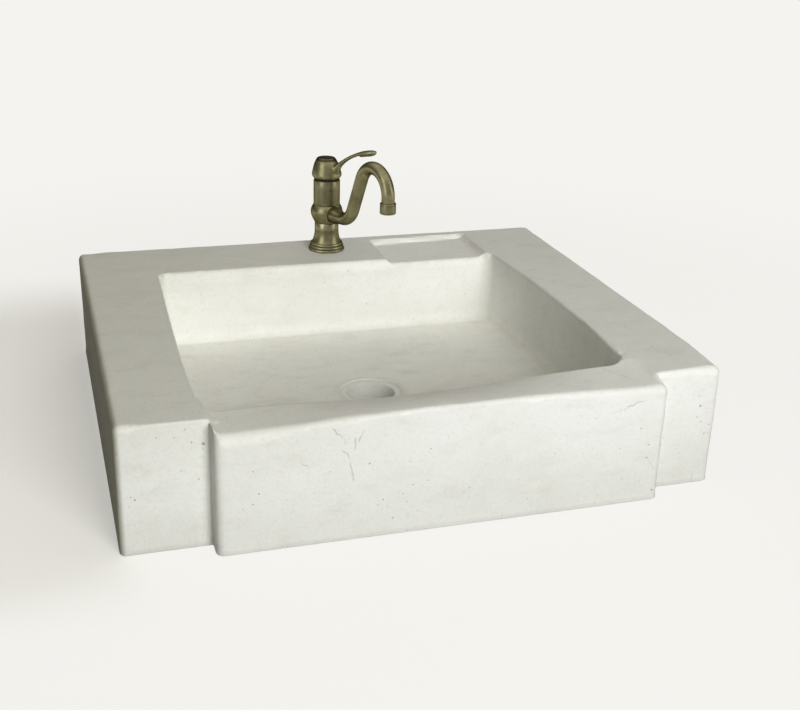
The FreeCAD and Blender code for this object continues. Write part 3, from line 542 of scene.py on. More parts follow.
# Foot: half-round beads, each one step narrower, a concave flare, the waist, and the spigot inside the collar
def makeFoot():
    swing = np.linspace(-quarter, quarter, 13)
    beads = []
    for count in range(foot["beads"]):
        radius = foot["radius"] - count * foot["step"]
        middle = (count + 0.5) * foot["bead"]
        beads.append(paired(radius - foot["sunk"] + (foot["bulge"] + foot["sunk"]) * np.cos(swing),
                            middle + foot["bead"] * foot["beadHalf"] * np.sin(swing)))
    flareFoot = radius - foot["step"]
    flareBottom = foot["beads"] * foot["bead"] + foot["flareFrom"]
    share = np.linspace(0, 1, 40)
    enter, leave = foot["flareCurve"]
    waist, top = foot["waist"], foot["height"]
    flare = paired(waist + (flareFoot - waist) * (1 - np.sin(share * quarter) ** enter) ** leave,
                   flareBottom + (foot["flareTop"] - flareBottom) * share)
    under = profileOf(
        foot, ("socket", 0), ("gasketIn", 0), ("gasketIn", "gasketTop"), ("gasketOut", "gasketTop"),
        ("gasketOut", 0))
    inside = profileOf(
        foot, (waist, top - foot["eased"]), (waist - foot["eased"], top), ("spigot", top),
        ("spigot", "spigotTop"), ("nose", "spigotTop"), ("nose", "noseTop"), ("bore", "noseTop"),
        ("bore", "socketTop"), ("socket", "socketTop"))
    profile = np.vstack([under, *beads, [(flareFoot, flareBottom - foot["flareEnter"])], flare, inside])
    piece = gridObject("castFoot", standing(turnedGrid(profile)), True, True)
    return ends(piece, "sink", "aged_brass", "foot_column")


collar = {"bottom": 43.0, "top": 69.0, "footRadius": 18.0, "bulge": 4.75, "bulgeCurve": (1.2, 0.8),
          "bore": 15.6, "spoutHeight": 57.0, "rootRadius": 11.6, "rootFrom": 17.2, "slimFrom": 26.0,
          "rootTo": 43.0, "rootEnd": 9.15, "closed": 0.01, "cell": 0.35, "rounds": 4}


# Collar: a barrel-shaped band, and a root that narrows smoothly from the band to the spout's tube
def makeCollar():
    bottom, top, bore, azimuth = collar["bottom"], collar["top"], collar["bore"], tap["spoutAzimuth"]
    share = np.linspace(0, 1, 40)
    lean = collar["footRadius"] + (tap["barrelRadius"] - collar["footRadius"]) * share
    low, full = collar["bulgeCurve"]
    swell = np.sin(math.pi * share ** low) ** full * collar["bulge"]
    band = paired(lean + swell, bottom + (top - bottom) * share)
    band = np.vstack([[(bore, bottom)], band, [(bore, top)]])
    reach = np.linspace(collar["rootFrom"], collar["rootTo"], 40)
    slim = ramp(reach, collar["slimFrom"], collar["rootTo"])
    radius = collar["rootRadius"] + (collar["rootEnd"] - collar["rootRadius"]) * slim
    radius = np.concatenate([[collar["closed"]], radius, [collar["closed"]]])
    reach = np.concatenate([reach[:1], reach, reach[-1:]])
    steps = np.linspace(0, collar["closed"], len(reach))
    path = paired(reach + steps, np.full(len(reach), collar["spoutHeight"]))
    root = sweptGrid(path, radius, radius, radius, 96)
    shells = [(standing(turnedGrid(band), azimuth), True, True), (standing(root, azimuth), False, True)]
    piece = fused("swivelCollar", shells, collar["cell"], collar["rounds"])
    return ends(piece, "spout", "aged_brass", "swivel_collar")


spout = {"radius": 9.1, "bore": 7.5, "start": 18.9, "run": 41.3, "height": 57.0, "lowerBend": 32.4,
         "riseAngle": 66.8, "rise": 54.6, "upperBend": 33.9, "drop": 12.0}


# Spout's centre line: a level run, an arc up, a straight rise, an arc over and a straight drop
def spoutPath():
    rise = math.radians(spout["riseAngle"])
    begin, bend = (spout["start"], spout["height"]), (spout["run"], spout["height"])
    lower = np.linspace(-quarter, rise - quarter, 34)
    arcUp = paired(np.cos(lower), np.sin(lower) + 1) * spout["lowerBend"] + bend
    ahead = np.array([math.cos(rise), math.sin(rise)])
    riseEnd = arcUp[-1] + ahead * spout["rise"]
    upper = np.linspace(rise + quarter, 0, 70)
    middle = riseEnd - np.array([-ahead[1], ahead[0]]) * spout["upperBend"]
    arcOver = middle + paired(np.cos(upper), np.sin(upper)) * spout["upperBend"]
    climb = np.linspace(arcUp[-1], riseEnd, 26)[1:-1]
    drop = np.linspace(arcOver[-1], arcOver[-1] - (0, spout["drop"]), 7)[1:]
    return np.vstack([np.linspace(begin, bend, 8)[:-1], arcUp, climb, arcOver, drop])


def makeSpout():
    path = spoutPath()
    outer, bore = np.full(len(path), spout["radius"]), np.full(len(path), spout["bore"])
    wall = np.concatenate([sweptGrid(path, outer, outer, outer), sweptGrid(path, bore, bore, bore)[::-1]])
    piece = gridObject("spoutTube", standing(wall, tap["spoutAzimuth"]), True, True)
    return ends(piece, "spout", "aged_brass", "spout_tube"), path[-1]


# The same patina all over a piece
def darken(piece, patina):
    storeValues(piece, "patina", np.full(len(piece.data.vertices), patina))


aerator = {"radius": 11.2, "bore": 9.15, "lip": 7.95, "below": 9.5, "seat": 8.3, "above": 5.5, "round": 1.4,
           "bead": 0.35, "beadFrom": 1.9, "beadRun": 1.5, "lowerIn": 0.1, "wallIn": 0.25, "wallTop": 2.2,
           "rimIn": 0.8, "patina": 0.3}


# Aerator's sleeve: a straight wall with a fine bead at its top and a rounded lower edge
def makeAerator(tip):
    radius = aerator["radius"]
    bottom, seat, top = tip[1] - aerator["below"], tip[1] - aerator["seat"], tip[1] + aerator["above"]
    swing = np.linspace(-quarter, 0, 9)
    edge = paired(np.cos(swing), np.sin(swing) + 1) * aerator["round"]
    edge += (radius - aerator["lowerIn"] - aerator["round"], bottom)
    swing = np.linspace(0, math.pi, 9)
    bead = paired(radius - aerator["bead"] + aerator["bead"] * np.sin(swing),
                  top - aerator["beadFrom"] + aerator["beadRun"] * swing / math.pi)
    wallEnd = (radius - aerator["wallIn"], top - aerator["wallTop"])
    rim = profileOf(aerator, (radius - aerator["rimIn"], top), ("bore", top), ("bore", seat), ("lip", seat))
    profile = np.vstack([[(aerator["lip"], bottom)], edge, [wallEnd], bead, rim])
    grid = standing(turnedGrid(profile, tip[0]), tap["spoutAzimuth"])
    piece = gridObject("aeratorSleeve", grid, True, True)
    darken(piece, aerator["patina"])
    return ends(piece, "spout", "aged_brass", "aerator_housing")


barrel = {"bottom": 69.4, "top": 105.58, "nose": 13.05, "noseTop": 75.0, "hole": 4.0, "floor": 79.0,
          "bore": 15.05, "nutBore": 17.05, "nutFloor": 99.88, "edge": 0.7, "plain": 12, "patina": 0.32,
          "easedBelow": ((0.4, 0), (0.1, 0.15), (0, 0.5)), "easedAbove": (0.2, 0.3)}


# Barrel: a straight wall with eased edges, over the cartridge's stepped bore
def makeBarrel():
    radius, bottom, top, edge = tap["barrelRadius"], barrel["bottom"], barrel["top"], barrel["edge"]
    below = [(radius - inset, bottom + rise) for inset, rise in barrel["easedBelow"]]
    inset, fall = barrel["easedAbove"]
    profile = np.array(profileOf(
        barrel, ("nose", bottom), *below, (radius, bottom + barrel["plain"]),
        (radius, top - barrel["plain"]), (radius, top - edge), (radius - inset, top - fall),
        (radius - edge, top), ("nutBore", top), ("nutBore", "nutFloor"), ("bore", "nutFloor"),
        ("bore", "floor"), ("hole", "floor"), ("hole", "noseTop"), ("nose", "noseTop")))
    piece = gridObject("cartridgeBarrel", standing(turnedGrid(profile)), True, True)
    darken(piece, barrel["patina"])
    return ends(piece, "sink", "aged_brass", "cartridge_barrel")


lever = {
    "bottom": 108.48, "cavity": 18.2, "cavityTop": 5.1, "capSeat": 12.7, "capFloor": 25.6, "stemHole": 4.0,
    "hubHeight": (0, 1.2, 2.8, 4.4, 6.2, 9, 12.5, 16, 19.9, 23.4, 26.2, 28.2, 29),
    "hubRadius": (18.9, 20.0, 21.1, 21.7, 21.6, 21.1, 20.3, 19.3, 18.0, 16.5, 15.0, 13.6, 12.9),
    "leanBack": 1.5, "leanCurve": 1.5, "patinaRise": (24.8, 26.2), "patinaWithin": (15.0, 16.0),
    "reach": 95.5, "level": 42.4, "rootReach": 17.0, "rootHeight": 12.0, "padStart": 68.0,
    "heel": 2.2, "heelRun": (-1.0, 0.6), "tipFrom": 83.5, "tipRound": 2.3, "closed": 0.002,
    "cell": 0.38, "rounds": 6, "blendAt": (20.0, 0, 124.48), "blendReach": 11.0, "blendRounds": 160,
    "hollowAt": 0.7, "creaseRounds": 6,
    "armAt": (9, 15, 19, 23, 28, 36, 48, 62, 68, 74, 82, 96),
    "armHalf": (8.2, 8.6, 8.0, 6.7, 5.6, 4.8, 4.4, 4.8, 5.7, 7.0, 7.8, 7.8),
    "armAbove": (6.0, 6.0, 5.2, 4.2, 3.3, 2.6, 2.3, 2.4, 2.7, 3.0, 3.0, 3.0),
    "armBelow": (9.5, 9.2, 7.6, 5.6, 4.0, 2.9, 2.4, 2.4, 2.7, 3.1, 3.3, 3.3),
}


# Hub: a flared lower lip, a dome that narrows to the cap's rim, a seat for the cap and a hollow below
def hubProfile():
    heights = lever["hubHeight"]
    height = np.interp(np.linspace(0, 1, 60), np.linspace(0, 1, len(heights)), heights)
    skin = paired(np.interp(height, heights, lever["hubRadius"]), height)
    inside = profileOf(lever, ("capSeat", height[-1]), ("capSeat", "capFloor"), ("stemHole", "capFloor"),
                       ("stemHole", "cavityTop"), ("cavity", "cavityTop"), ("cavity", 0.0))
    return np.vstack([skin, inside]) + (0, lever["bottom"])


# Arm: along an arc that is level at the tip, an oval that is broad at the hub, slim in the middle and a leaf
# at the end, closed by a superellipse
def armGrid():
    end, pad, tip, power = lever["reach"], lever["padStart"], lever["tipFrom"], lever["tipRound"]
    run, fall = end - lever["rootReach"], lever["level"] - lever["rootHeight"]
    bend = (run ** 2 + fall ** 2) / (2 * fall)
    reach = np.concatenate([
        np.linspace(lever["armAt"][0], pad - 1.6, 90), np.linspace(pad - 1.4, pad + 1.4, 15),
        np.linspace(pad + 1.6, tip, 30), tip + (end - tip) * np.sin(np.linspace(0.03, 1, 40) * quarter)])
    angle = np.arcsin((end - reach) / bend)
    path = paired(reach, lever["bottom"] + lever["level"] - bend * (1 - np.cos(angle)))
    half, above, below = (
        np.interp(reach, lever["armAt"], lever[key]) for key in ("armHalf", "armAbove", "armBelow"))
    below = below + ramp(reach - pad, *lever["heelRun"]) * np.minimum(lever["heel"], below)
    toTip = np.clip((reach - tip) / (end - tip), 0, 1)
    closing = np.maximum((1 - toTip ** power) ** (1 / power), lever["closed"])
    closing[0] = lever["closed"]
    return sweptGrid(path, half * closing, above * closing, below * closing, 72)


# Leans the hub's dome back from the arm, more towards its top
def leanedBack(grid):
    share = np.clip((grid[..., 2] - lever["bottom"]) / lever["hubHeight"][-1], 0, None)
    return grid - np.stack([lever["leanBack"] * share ** lever["leanCurve"], 0 * share, 0 * share], axis=-1)


# Relaxes the skin near a place, most in the middle, so that the shells that meet there flow into each other
def blend(piece, middle, reach, rounds):
    far = np.linalg.norm(pointsOf(piece) - middle, axis=1)
    near = piece.vertex_groups.new(name="near")
    for weight in np.linspace(0.1, 1, 10):
        near.add(np.flatnonzero(far < reach * (1.6 - 0.6 * weight)).tolist(), weight, "REPLACE")
    relax(piece, rounds, "near")


def makeLever():
    azimuth = tap["leverAzimuth"]
    shells = [(standing(leanedBack(turnedGrid(hubProfile())), azimuth), True, True),
              (standing(armGrid(), azimuth, tap["armLean"]), False, True)]
    piece = fused("leverHandle", shells, lever["cell"], lever["rounds"])
    middle = standing(np.array(lever["blendAt"]), azimuth)
    blend(piece, middle, lever["blendReach"], lever["blendRounds"])
    points = pointsOf(piece) - np.array([*tap["axis"], tap["deck"] + lever["bottom"]])
    within = 1 - ramp(np.hypot(points[:, 0], points[:, 1]), *lever["patinaWithin"])
    storeValues(piece, "patina", ramp(points[:, 2], *lever["patinaRise"]) * within)
    return ends(piece, "lever", "aged_brass", "lever_handle")


cap = {"radius": 12.6, "bottom": 134.58, "rimTop": 137.75, "dish": 0.7, "dishRise": 0.25, "rim": 1.6,
       "eased": 0.3}


# Cap: a disc with a raised rim and a shallow dished middle
def makeCap():
    radius, top, eased = cap["radius"], cap["rimTop"], cap["eased"]
    inner = radius - cap["rim"]
    share = np.linspace(0, 1, 14)
    dish = paired(inner * (1 - share), top - cap["dish"] * (1 - cap["dishRise"] * share))
    side = profileOf(cap, (0, "bottom"), ("radius", "bottom"), (radius, top - eased), (radius - eased, top),
                     (inner + eased, top))
    grid = leanedBack(turnedGrid(np.vstack([side, dish])))
    piece = gridObject("indexCap", standing(grid, tap["leverAzimuth"]), False, True)
    mergeDoubles(piece)
    return ends(piece, "lever", "dark_bronze", "index_cap")


print("boring the tap hole")
boreTapHole()
print("turning the tap")
footPiece = makeFoot()
collarPiece = makeCollar()
spoutPiece, spoutTip = makeSpout()
aeratorPiece = makeAerator(spoutTip)
barrelPiece = makeBarrel()
leverPiece = makeLever()
capPiece = makeCap()


# A socket of a node tree. Sums on it add Math nodes, and node() adds any other node: its type, its settings,
# which are set first, and the values or links of its sockets
class Wire:
    def __init__(self, tree, socket=None):
        self.tree = tree
        self.socket = socket

    def node(self, kind, settings, values, output=0):
        made = self.tree.nodes.new("ShaderNode" + kind)
        for key, value in settings.items():
            setattr(made, key, value)
        for key, value in values.items():
            if isinstance(value, Wire):
                self.tree.links.new(value.socket, made.inputs[key])
            else:
                made.inputs[key].default_value = value
        return Wire(self.tree, made.outputs[output])

    def sum(self, operation, first, second):
        return self.node("Math", {"operation": operation}, {0: first, 1: second})

    def __add__(self, other):
        return self.sum("ADD", self, other)

    def __sub__(self, other):
        return self.sum("SUBTRACT", self, other)

    def __rsub__(self, other):
        return self.sum("SUBTRACT", other, self)

    def __mul__(self, other):
        return self.sum("MULTIPLY", self, other)

    def __pow__(self, other):
        return self.sum("POWER", self, other)

    def larger(self, other):
        return self.sum("MAXIMUM", self, other)

    def smaller(self, other):
        return self.sum("MINIMUM", self, other)

    __radd__ = __add__
    __rmul__ = __mul__

    # 0 below low, 1 above high, smooth between (low above high turns it round)
    def between(self, low, high):
        settings = {"interpolation_type": "SMOOTHSTEP"}
        return self.node("MapRange", settings, {"Value": self, "From Min": low, "From Max": high})

    # Vector sums: add, subtract, multiply, or the distance and dot product, which come out as "Value"
    def vector(self, operation, other, output="Vector"):
        return self.node("VectorMath", {"operation": operation}, {0: self, 1: other}, output)

    def axis(self, name):
        return self.node("SeparateXYZ", {}, {0: self}, name)

    def named(self, name):
        return self.node("Attribute", {"attribute_name": name}, {}, "Fac")

    # From one colour, where the mask is 0, to another, or to both multiplied, where it is 1
    def mixed(self, mask, first, second, how="MIX"):
        settings = {"data_type": "RGBA", "blend_type": how}
        return self.node("Mix", settings, {0: mask, 6: first, 7: second}, 2)

    # The place on the object, stretched by a scale along each axis and then turned
    def stretched(self, scale, turn=(0, 0, 0)):
        return self.node("Mapping", {}, {"Vector": self, "Rotation": turn, "Scale": scale})

    # Soft noise around 0.5 with features of about 1/scale metres
    def noise(self, scale, detail, rough, output=0):
        values = {"Vector": self, "Scale": scale, "Detail": detail, "Roughness": rough}
        return self.node("TexNoise", {}, values, output)

    # The nearest point of a scattered lattice: its distance or its colour
    def cells(self, scale, output):
        return self.node("TexVoronoi", {"feature": "F1"}, {"Vector": self, "Scale": scale}, output)


# A new material: gives it, the shader node to fill and the place on the object
def newMaterial(name):
    material = bpy.data.materials.new(name)
    material.use_nodes = True
    tree = material.node_tree
    shader = tree.nodes["Principled BSDF"]
    place = Wire(tree).node("TexCoord", {}, {}, "Object")
    return material, shader, place


def feed(shader, key, wire):
    shader.id_data.links.new(wire.socket, shader.inputs[key])


def feedBump(shader, height, distance):
    values = {"Height": height, "Distance": distance, "Strength": 1.0}
    feed(shader, "Normal", height.node("Bump", {}, values))


def wear(material, *pieces):
    for piece in pieces:
        piece.data.materials.clear()
        piece.data.materials.append(material)


limestone = {
    "body": (0.896, 0.901, 0.870, 1), "cloud": (0.845, 0.846, 0.804, 1), "pale": (0.925, 0.93, 0.907, 1),
    "pit": (0.36, 0.345, 0.29, 1), "crack": (0.55, 0.535, 0.46, 1), "stainAndShade": (0.74, 0.725, 0.64, 1),
    "rubbedAndPaintedLight": (1.08, 1.08, 1.08, 1), "left": (0.895, 0.89, 0.865, 1), "paintedShadeLeftFace": (0.73, 0.71, 0.62, 1),
    "low": (0.81, 0.805, 0.775, 1), "paintedShadeHeights": (0.125, 0.0), "roll": (0.94, 0.94, 0.945, 1),
    "apronLines": (
        (-127, 136, -118, 127), (-118, 127, -113, 116), (-116, 108, -110, 104), (-110, 104, -106, 87),
        (-106, 87, -103, 73), (-93, 131, -99, 117), (-102, 122, -102, 111), (-163, 100, -148, 94),
        (196, 118, 238, 131), (250, 52, 258, 40)),
    "deckLines": (
        (294, -132, 299, -154), (298, -206, 308, -246), (205, -248, 232, -284), (-330, -140, -296, -128),
        (-262, 150, -232, 214), (262, 60, 300, 40), (-312, -200, -285, -216)),
    "lineWidth": 0.0007, "lineWander": 0.008,
    "crowds": (
        ((-0.232, -0.313, 0.068), 0.045), ((0.255, -0.313, 0.075), 0.05), ((-0.257, -0.287, 0.118), 0.03),
        ((-0.335, -0.287, 0.06), 0.035), ((0.335, -0.287, 0.09), 0.06), ((-0.04, -0.313, 0.03), 0.05)),
}


# Nearness to hairlines: 1 on the straight runs between pairs of places, seen along an axis, 0 a width away
def hairlines(place, runs, axis):
    flat = np.insert(np.array(runs).reshape(-1, 2, 2) * mm, axis, 0, axis=-1)
    keep = np.ones(3)
    keep[axis] = 0
    place = place.vector("MULTIPLY", tuple(keep))
    nearest = None
    for start, end in flat:
        run = end - start
        away = place.vector("SUBTRACT", tuple(start))
        share = away.vector("DOT_PRODUCT", tuple(run / (run @ run)), "Value").larger(0.0).smaller(1.0)
        foot = share.node("VectorMath", {"operation": "SCALE"}, {0: tuple(run), "Scale": share})
        far = away.vector("DISTANCE", foot, "Value")
        nearest = far if nearest is None else nearest.smaller(far)
    return nearest.between(limestone["lineWidth"], limestone["lineWidth"] * 0.3)


# Small round pits, one in each cell of a lattice, larger in a few cells and where they crowd
def pitMask(place, scale, least, most, crowd):
    lot = place.node("SeparateColor", {}, {"Color": place.cells(scale, "Color")}, "Red")
    size = lot ** 4 * most + crowd * lot * least
    return place.cells(scale, "Distance").between(size, size * 0.45)


# Limestone: two close tones in soft clouds, a fine tooth, pits that crowd at worn places and hairlines;
# painted shade towards the left, on the left outer face, low on the outer faces, in the hollows and on the
# rounded edges, and painted light on the basin's floor
def makeLimestone():
    material, shader, place = newMaterial("limestone")
    x, y, z = (place.axis(name) for name in "XYZ")
    clouds, tooth, grain = place.noise(9, 5, 0.6), place.noise(240, 3, 0.6), place.noise(900, 2, 0.6)
    streaks = place.stretched((16, 34, 34), (0, 0, 0.35)).noise(1, 4, 0.6)
    smears = place.stretched((30, 58, 58), (0, 0, -0.5)).noise(1, 5, 0.7)
    edge, hollow = place.named("edge"), place.named("hollow")
    outer = y.between(-0.262, -0.275).larger(x.between(-0.332, -0.344)).larger(x.between(0.332, 0.344))
    outer = outer.larger(y.between(0.3, 0.31))
    inSoapRest = y.between(0.19, 0.2) * z.between(0.1475, 0.1445) * z.between(0.13, 0.135)
    onFloor = z.between(0.068, 0.05)
    crowd = place.noise(12, 3, 0.6).between(0.55, 0.72) * 0.6 + edge * 0.4
    for middle, reach in limestone["crowds"]:
        crowd = crowd.larger(place.vector("DISTANCE", middle, "Value").between(reach, reach * 0.2))
    pits = pitMask(place, 58, 0.045, 0.075, crowd).larger(pitMask(place, 170, 0.15, 0.17, crowd) * 0.6)
    ticks = place.stretched((320, 320, 32)).noise(1, 3, 0.6).between(0.6, 0.72)
    ticks = ticks * z.between(0.03, 0.004) * outer
    shake = place.noise(110, 3, 0.6)
    wander = place.noise(110, 3, 0.5, "Color").vector("SUBTRACT", (0.5, 0.5, 0.5))
    astray = place.vector("ADD", wander.vector("MULTIPLY", (limestone["lineWander"],) * 3))
    onApron = hairlines(astray, limestone["apronLines"], 1) * y.between(-0.300, -0.306)
    onDeck = hairlines(astray, limestone["deckLines"], 2) * z.between(0.138, 0.143)
    cracks = onApron.larger(onDeck) * shake.between(0.38, 0.55)
    layers = (
        ("MIX", "pale", place.noise(31, 4, 0.6).between(0.5, 0.72) * 0.5),
        # Lighter in the soap rest, and painted light on the basin floor, which the front rim shades
        ("MULTIPLY", "rubbedAndPaintedLight", inSoapRest.larger(onFloor * 0.75) * (1 - outer)),
        ("MIX", "cloud", streaks.between(0.5, 0.75) * 0.9),
        ("MIX", "stainAndShade", tooth.between(0.48, 0.8) * 0.42 + grain.between(0.5, 0.8) * 0.42),
        ("MIX", "stainAndShade", smears.between(0.5, 0.78) * 0.36),
        # Painted shade: darker towards the left, above the lowest 4 cm
        ("MULTIPLY", "left", x.between(0.15, -0.33) * z.between(0.04, 0.145)),
        # Painted shade on the left outer face
        ("MULTIPLY", "paintedShadeLeftFace", x.between(-0.3425, -0.3485)),
        # Painted shade: the outer faces darker towards the bottom, where less light comes up from the floor
        ("MULTIPLY", "low", z.between(*limestone["paintedShadeHeights"]) * outer * (0.35 + clouds * 0.4)),
        ("MIX", "stainAndShade", edge * place.noise(45, 3, 0.6).between(0.45, 0.7) * 0.45),
        # Painted shade in creases and hollows, such as where the basin's walls meet its floor
        ("MIX", "stainAndShade", hollow * (0.3 + clouds * 0.7)),
        # Painted shade on the rounded edges, which would otherwise catch more light than the faces
        ("MULTIPLY", "roll", edge.between(0.05, 0.3)),
        ("MIX", "crack", (cracks * 0.4).larger(ticks * 0.35)),
        ("MIX", "pit", pits * 0.75))
    colour = place.mixed(clouds.between(0.42, 0.72) * 0.55, limestone["body"], limestone["cloud"])
    for how, tone, mask in layers:
        colour = place.mixed(mask, colour, limestone[tone], how)
    feed(shader, "Base Color", colour)
    feed(shader, "Roughness", 0.58 + grain * 0.14)
    shader.inputs["Specular IOR Level"].default_value = 0.08
    feedBump(shader, grain * 0.35 + tooth * 0.8 - pits * 2.2 - cracks * 1.2, 0.0005)
    return material


metals = {
    "aged_brass": {
        "body": (0.30, 0.275, 0.15, 1), "dark": (0.060, 0.048, 0.028, 1), "bright": (0.50, 0.475, 0.30, 1),
        "edgeOn": (0.20, 0.18, 0.13, 1), "rough": 0.32},
    "dark_bronze": {
        "body": (0.15, 0.125, 0.105, 1), "dark": (0.050, 0.040, 0.036, 1), "bright": (0.22, 0.19, 0.15, 1),
        "edgeOn": (0.3, 0.3, 0.3, 1), "rough": 0.36},
    "raw_brass": {
        "body": (0.62, 0.46, 0.20, 1), "dark": (0.36, 0.25, 0.10, 1), "bright": (0.74, 0.60, 0.32, 1),
        "edgeOn": (0.8, 0.8, 0.75, 1), "rough": 0.28},
    "zinc_steel": {
        "body": (0.52, 0.52, 0.50, 1), "dark": (0.30, 0.30, 0.29, 1), "bright": (0.66, 0.66, 0.66, 1),
        "edgeOn": (0.9, 0.9, 0.9, 1), "rough": 0.34},
}


# Brushed metal: cloudy tone, fine lines round the upright axis, dark in the hollows, bright along the edges
def makeMetal(name):
    tones = metals[name]
    material, shader, place = newMaterial(name)
    clouds = place.noise(60, 4, 0.6)
    lines = place.stretched((45, 45, 2600)).noise(1, 2, 0.6)
    hollow, edge, patina = (place.named(name) for name in ("hollow", "edge", "patina"))
    colour = place.mixed(clouds.between(0.42, 0.72) * 0.45, tones["body"], tones["dark"])
    colour = place.mixed(lines.between(0.5, 0.8) * 0.35, colour, tones["bright"])
    colour = place.mixed(edge * 0.55, colour, tones["bright"])
    colour = place.mixed((hollow * 0.85).larger(patina * 0.9), colour, tones["dark"])
    feed(shader, "Base Color", colour)
    rough = (lines - 0.5) * 0.22 + clouds * 0.10 + hollow * 0.2
    feed(shader, "Roughness", rough + (tones["rough"] - 0.05))
    shader.inputs["Metallic"].default_value = 1.0
    shader.inputs["Specular Tint"].default_value = tones["edgeOn"]
    feedBump(shader, lines * 0.6 + clouds * 0.4, 0.00004)
    return material


mouldings = {
    "black_rubber": {
        "body": (0.022, 0.022, 0.023, 1), "second": (0.045, 0.044, 0.043, 1), "rough": 0.62, "grain": 1500},
    "slip_plastic": {
        "body": (0.055, 0.052, 0.047, 1), "second": (0.085, 0.080, 0.072, 1), "rough": 0.45, "grain": 900},
    "cartridge_plastic": {
        "body": (0.62, 0.62, 0.60, 1), "second": (0.52, 0.52, 0.50, 1), "rough": 0.42, "grain": 700},
    "white_ceramic": {
        "body": (0.82, 0.82, 0.80, 1), "second": (0.74, 0.74, 0.72, 1), "rough": 0.22, "grain": 400},
}


# Moulded rubber, plastic or ceramic: two close tones in soft clouds, with a fine grain
def makeMoulding(name):
    tones = mouldings[name]
    material, shader, place = newMaterial(name)
    clouds = place.noise(90, 3, 0.5)
    grain = place.noise(tones["grain"], 2, 0.6)
    share = clouds.between(0.35, 0.7) * 0.6 + grain * 0.4
    feed(shader, "Base Color", place.mixed(share, tones["body"], tones["second"]))
    feed(shader, "Roughness", grain * 0.12 + (tones["rough"] - 0.06))
    feedBump(shader, grain, 0.00003)
    return material


print("finishes")
slotFinish = {name: makeMetal(name) for name in metals}
slotFinish.update({name: makeMoulding(name) for name in mouldings})
slotFinish["limestone"] = makeLimestone()
for piece in nodes.values():
    wear(slotFinish[piece.material_slots[0].name], piece)
brassPieces = (footPiece, collarPiece, spoutPiece, aeratorPiece, barrelPiece, leverPiece)
wear(slotFinish["limestone"], stonePiece)
wear(slotFinish["aged_brass"], *brassPieces)
wear(slotFinish["dark_bronze"], capPiece)
for piece in (stonePiece, *brassPieces, capPiece):
    if piece is leverPiece:
        storeCreases(piece, lever["hollowAt"], rounds=lever["creaseRounds"])
    else:
        storeCreases(piece)


# Stage: a pale floor that keeps the object's shadow, most of it on the left, and the same colour all round
stage = {
    "pale": (0.905, 0.896, 0.863, 1), "black": (0, 0, 0, 1), "floorHalf": 12.0, "floorBelow": 0.3,
    "plainFrom": 0.75, "plainTo": 1.5,
    "shadowLeft": (-0.31, -0.36), "shadowFront": (-0.42, -0.30), "shadowBack": (0.70, 0.40),
    "shadowShare": (0.12, 0.81), "floorLight": 0.76, "bounce": (0.10, 0.10, 0.095, 1),
    "ambient": (0.078, 0.076, 0.066, 1), "dimFront": 0.60, "dimBack": 0.82, "lowFrom": (0.85, 0.3),
    "frontFrom": (0.2, -0.5),
}


# 1 for rays that show the background: from the camera, a mirror or a lens
def seenDirectly(tree):
    def ray(kind):
        return Wire(tree).node("LightPath", {}, {}, kind)
    return ray("Is Camera Ray").larger(ray("Is Glossy Ray")).larger(ray("Is Transmission Ray"))


# Floor: seen directly it glows in the background's colour, less what the lamps add to it, so that only the
# shadow shows; for other rays it is a plain grey floor
def makeStage():
    half = stage["floorHalf"]
    x, y = np.meshgrid((-half / mm, half / mm), (-half / mm, half / mm))
    corners = np.stack([x, y, np.full((2, 2), -stage["floorBelow"])], axis=-1)
    floor = gridObject("floor", corners)
    material = bpy.data.materials.new("floor")
    material.use_nodes = True
    tree = material.node_tree
    tree.nodes.clear()
    start = Wire(tree)
    place = start.node("TexCoord", {}, {}, "Object")
    x, y = place.axis("X"), place.axis("Y")
    away = place.vector("DISTANCE", (0, 0, 0), "Value")
    beside = x.between(*stage["shadowLeft"]) * y.between(*stage["shadowFront"])
    beside = beside * y.between(*stage["shadowBack"])
    least, most = stage["shadowShare"]
    share = (beside * (most - least) + least) * away.between(stage["plainTo"], stage["plainFrom"])
    strength = 1 - share * stage["floorLight"]
    glow = start.node("Emission", {}, {"Color": stage["pale"], "Strength": strength})
    colour = start.mixed(share, stage["black"], stage["pale"])
    lit = start.node("BsdfDiffuse", {}, {"Color": colour})
    seen = start.node("AddShader", {}, {0: glow, 1: lit})
    bounce = start.node("BsdfDiffuse", {}, {"Color": stage["bounce"]})
    surface = start.node("MixShader", {}, {0: seenDirectly(tree), 1: bounce, 2: seen})
    output = tree.nodes.new("ShaderNodeOutputMaterial")
    tree.links.new(surface.socket, output.inputs["Surface"])
    wear(material, floor)


# World: a dim even light, pale where it is seen, and in mirrors dimmer all round and darkest behind
def makeWorld():
    world = bpy.data.worlds.new("studio")
    scene.world = world
    world.use_nodes = True
    tree = world.node_tree
    start = Wire(tree)
    toward = start.node("TexCoord", {}, {}, "Generated")
    low = toward.axis("Z").between(*stage["lowFrom"])
    front = toward.axis("Y").between(*stage["frontFrom"])
    mirrored = start.node("LightPath", {}, {}, "Is Glossy Ray")
    dim = low * (front * (stage["dimFront"] - stage["dimBack"]) + stage["dimBack"]) * mirrored
    seen = start.mixed(dim, stage["pale"], stage["black"])
    colour = start.mixed(seenDirectly(tree), stage["ambient"], seen)
    tree.links.new(colour.socket, tree.nodes["Background"].inputs["Color"])


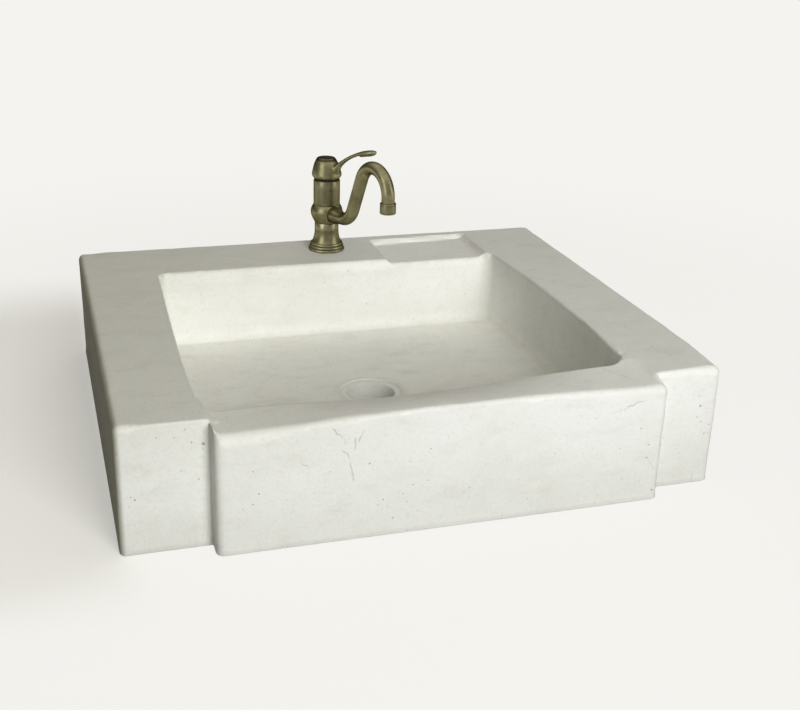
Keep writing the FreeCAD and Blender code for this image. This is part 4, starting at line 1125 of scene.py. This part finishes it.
sunDistance = 4.0
lamps = {
    "key": {"sun": 32, "azimuth": 6, "height": 25, "energy": 0.70, "colour": (1, 0.99, 0.95)},
    "side": {"area": (1.1, 1.1), "away": 2.4, "azimuth": 6, "height": 20, "energy": 33,
             "colour": (0.985, 1, 1)},
    "top": {"sun": 80, "azimuth": 10, "height": 80, "energy": 0.485, "colour": (1, 0.94, 0.78)},
    "back": {"sun": 70, "azimuth": 155, "height": 13, "energy": 0.55, "colour": (1, 0.98, 0.94)},
    "leftStrip": {"area": (1.1, 1.4), "away": 2.0, "azimuth": -64, "height": 25, "energy": 7.7,
                  "colour": (1, 1, 0.97), "mirrorOnly": True},
    "rightStrip": {"area": (0.45, 1.4), "away": 2.0, "azimuth": 64, "height": 25, "energy": 4.4,
                   "colour": (1, 1, 0.97), "mirrorOnly": True},
}


# A lamp or camera at a place, by its directions to the right, up and back
def stood(name, data, right, upward, backward, place):
    turn = np.eye(4)
    turn[:3] = np.stack([right, upward, backward, place], axis=1)
    made = linked(name, data)
    made.matrix_world = Matrix(turn.tolist())
    return made


# A lamp that faces the object from an azimuth, counted from the front towards the right, and a height angle:
# a sun of some degrees or an area; it lights what isn't a mirror, or else shows only in mirrors
def makeLamp(name):
    choice = lamps[name]
    azimuth, height = math.radians(choice["azimuth"]), math.radians(choice["height"])
    level = math.cos(height)
    toLamp = np.array([math.sin(azimuth) * level, -math.cos(azimuth) * level, math.sin(height)])
    light = bpy.data.lights.new(name, "SUN" if "sun" in choice else "AREA")
    light.energy = choice["energy"]
    light.color = choice["colour"]
    if "sun" in choice:
        light.angle = math.radians(choice["sun"])
    else:
        light.shape = "RECTANGLE"
        light.size, light.size_y = choice["area"]
    side = np.cross([0, 0, 1], toLamp)
    side /= np.linalg.norm(side)
    lamp = stood(name, light, side, np.cross(toLamp, side), toLamp, toLamp * choice.get("away", sunDistance))
    lamp.visible_glossy = choice.get("mirrorOnly", False)
    lamp.visible_diffuse = not lamp.visible_glossy


print("stage and lamps")
makeStage()
makeWorld()
for name in lamps:
    makeLamp(name)

# Camera at the photograph's place, from its yaw, pitch and roll
view = {"place": (-404.2, -1401.0, 678.5), "yaw": 17.733, "pitch": 22.179, "roll": 1.719, "lens": 53.67,
        "sensor": 36.0}


def makeCamera():
    yaw, pitch, roll = (math.radians(view[key]) for key in ("yaw", "pitch", "roll"))
    ahead = np.array([math.sin(yaw) * math.cos(pitch), math.cos(yaw) * math.cos(pitch), -math.sin(pitch)])
    level = np.array([math.cos(yaw), -math.sin(yaw), 0])
    above = np.cross(level, ahead)
    right = math.cos(roll) * level + math.sin(roll) * above
    upward = math.cos(roll) * above - math.sin(roll) * level
    lens = bpy.data.cameras.new("camera")
    lens.lens = view["lens"]
    lens.sensor_width = view["sensor"]
    scene.camera = stood("camera", lens, right, upward, -ahead, np.array(view["place"]) * mm)


makeCamera()

scene.view_settings.view_transform = "Standard"
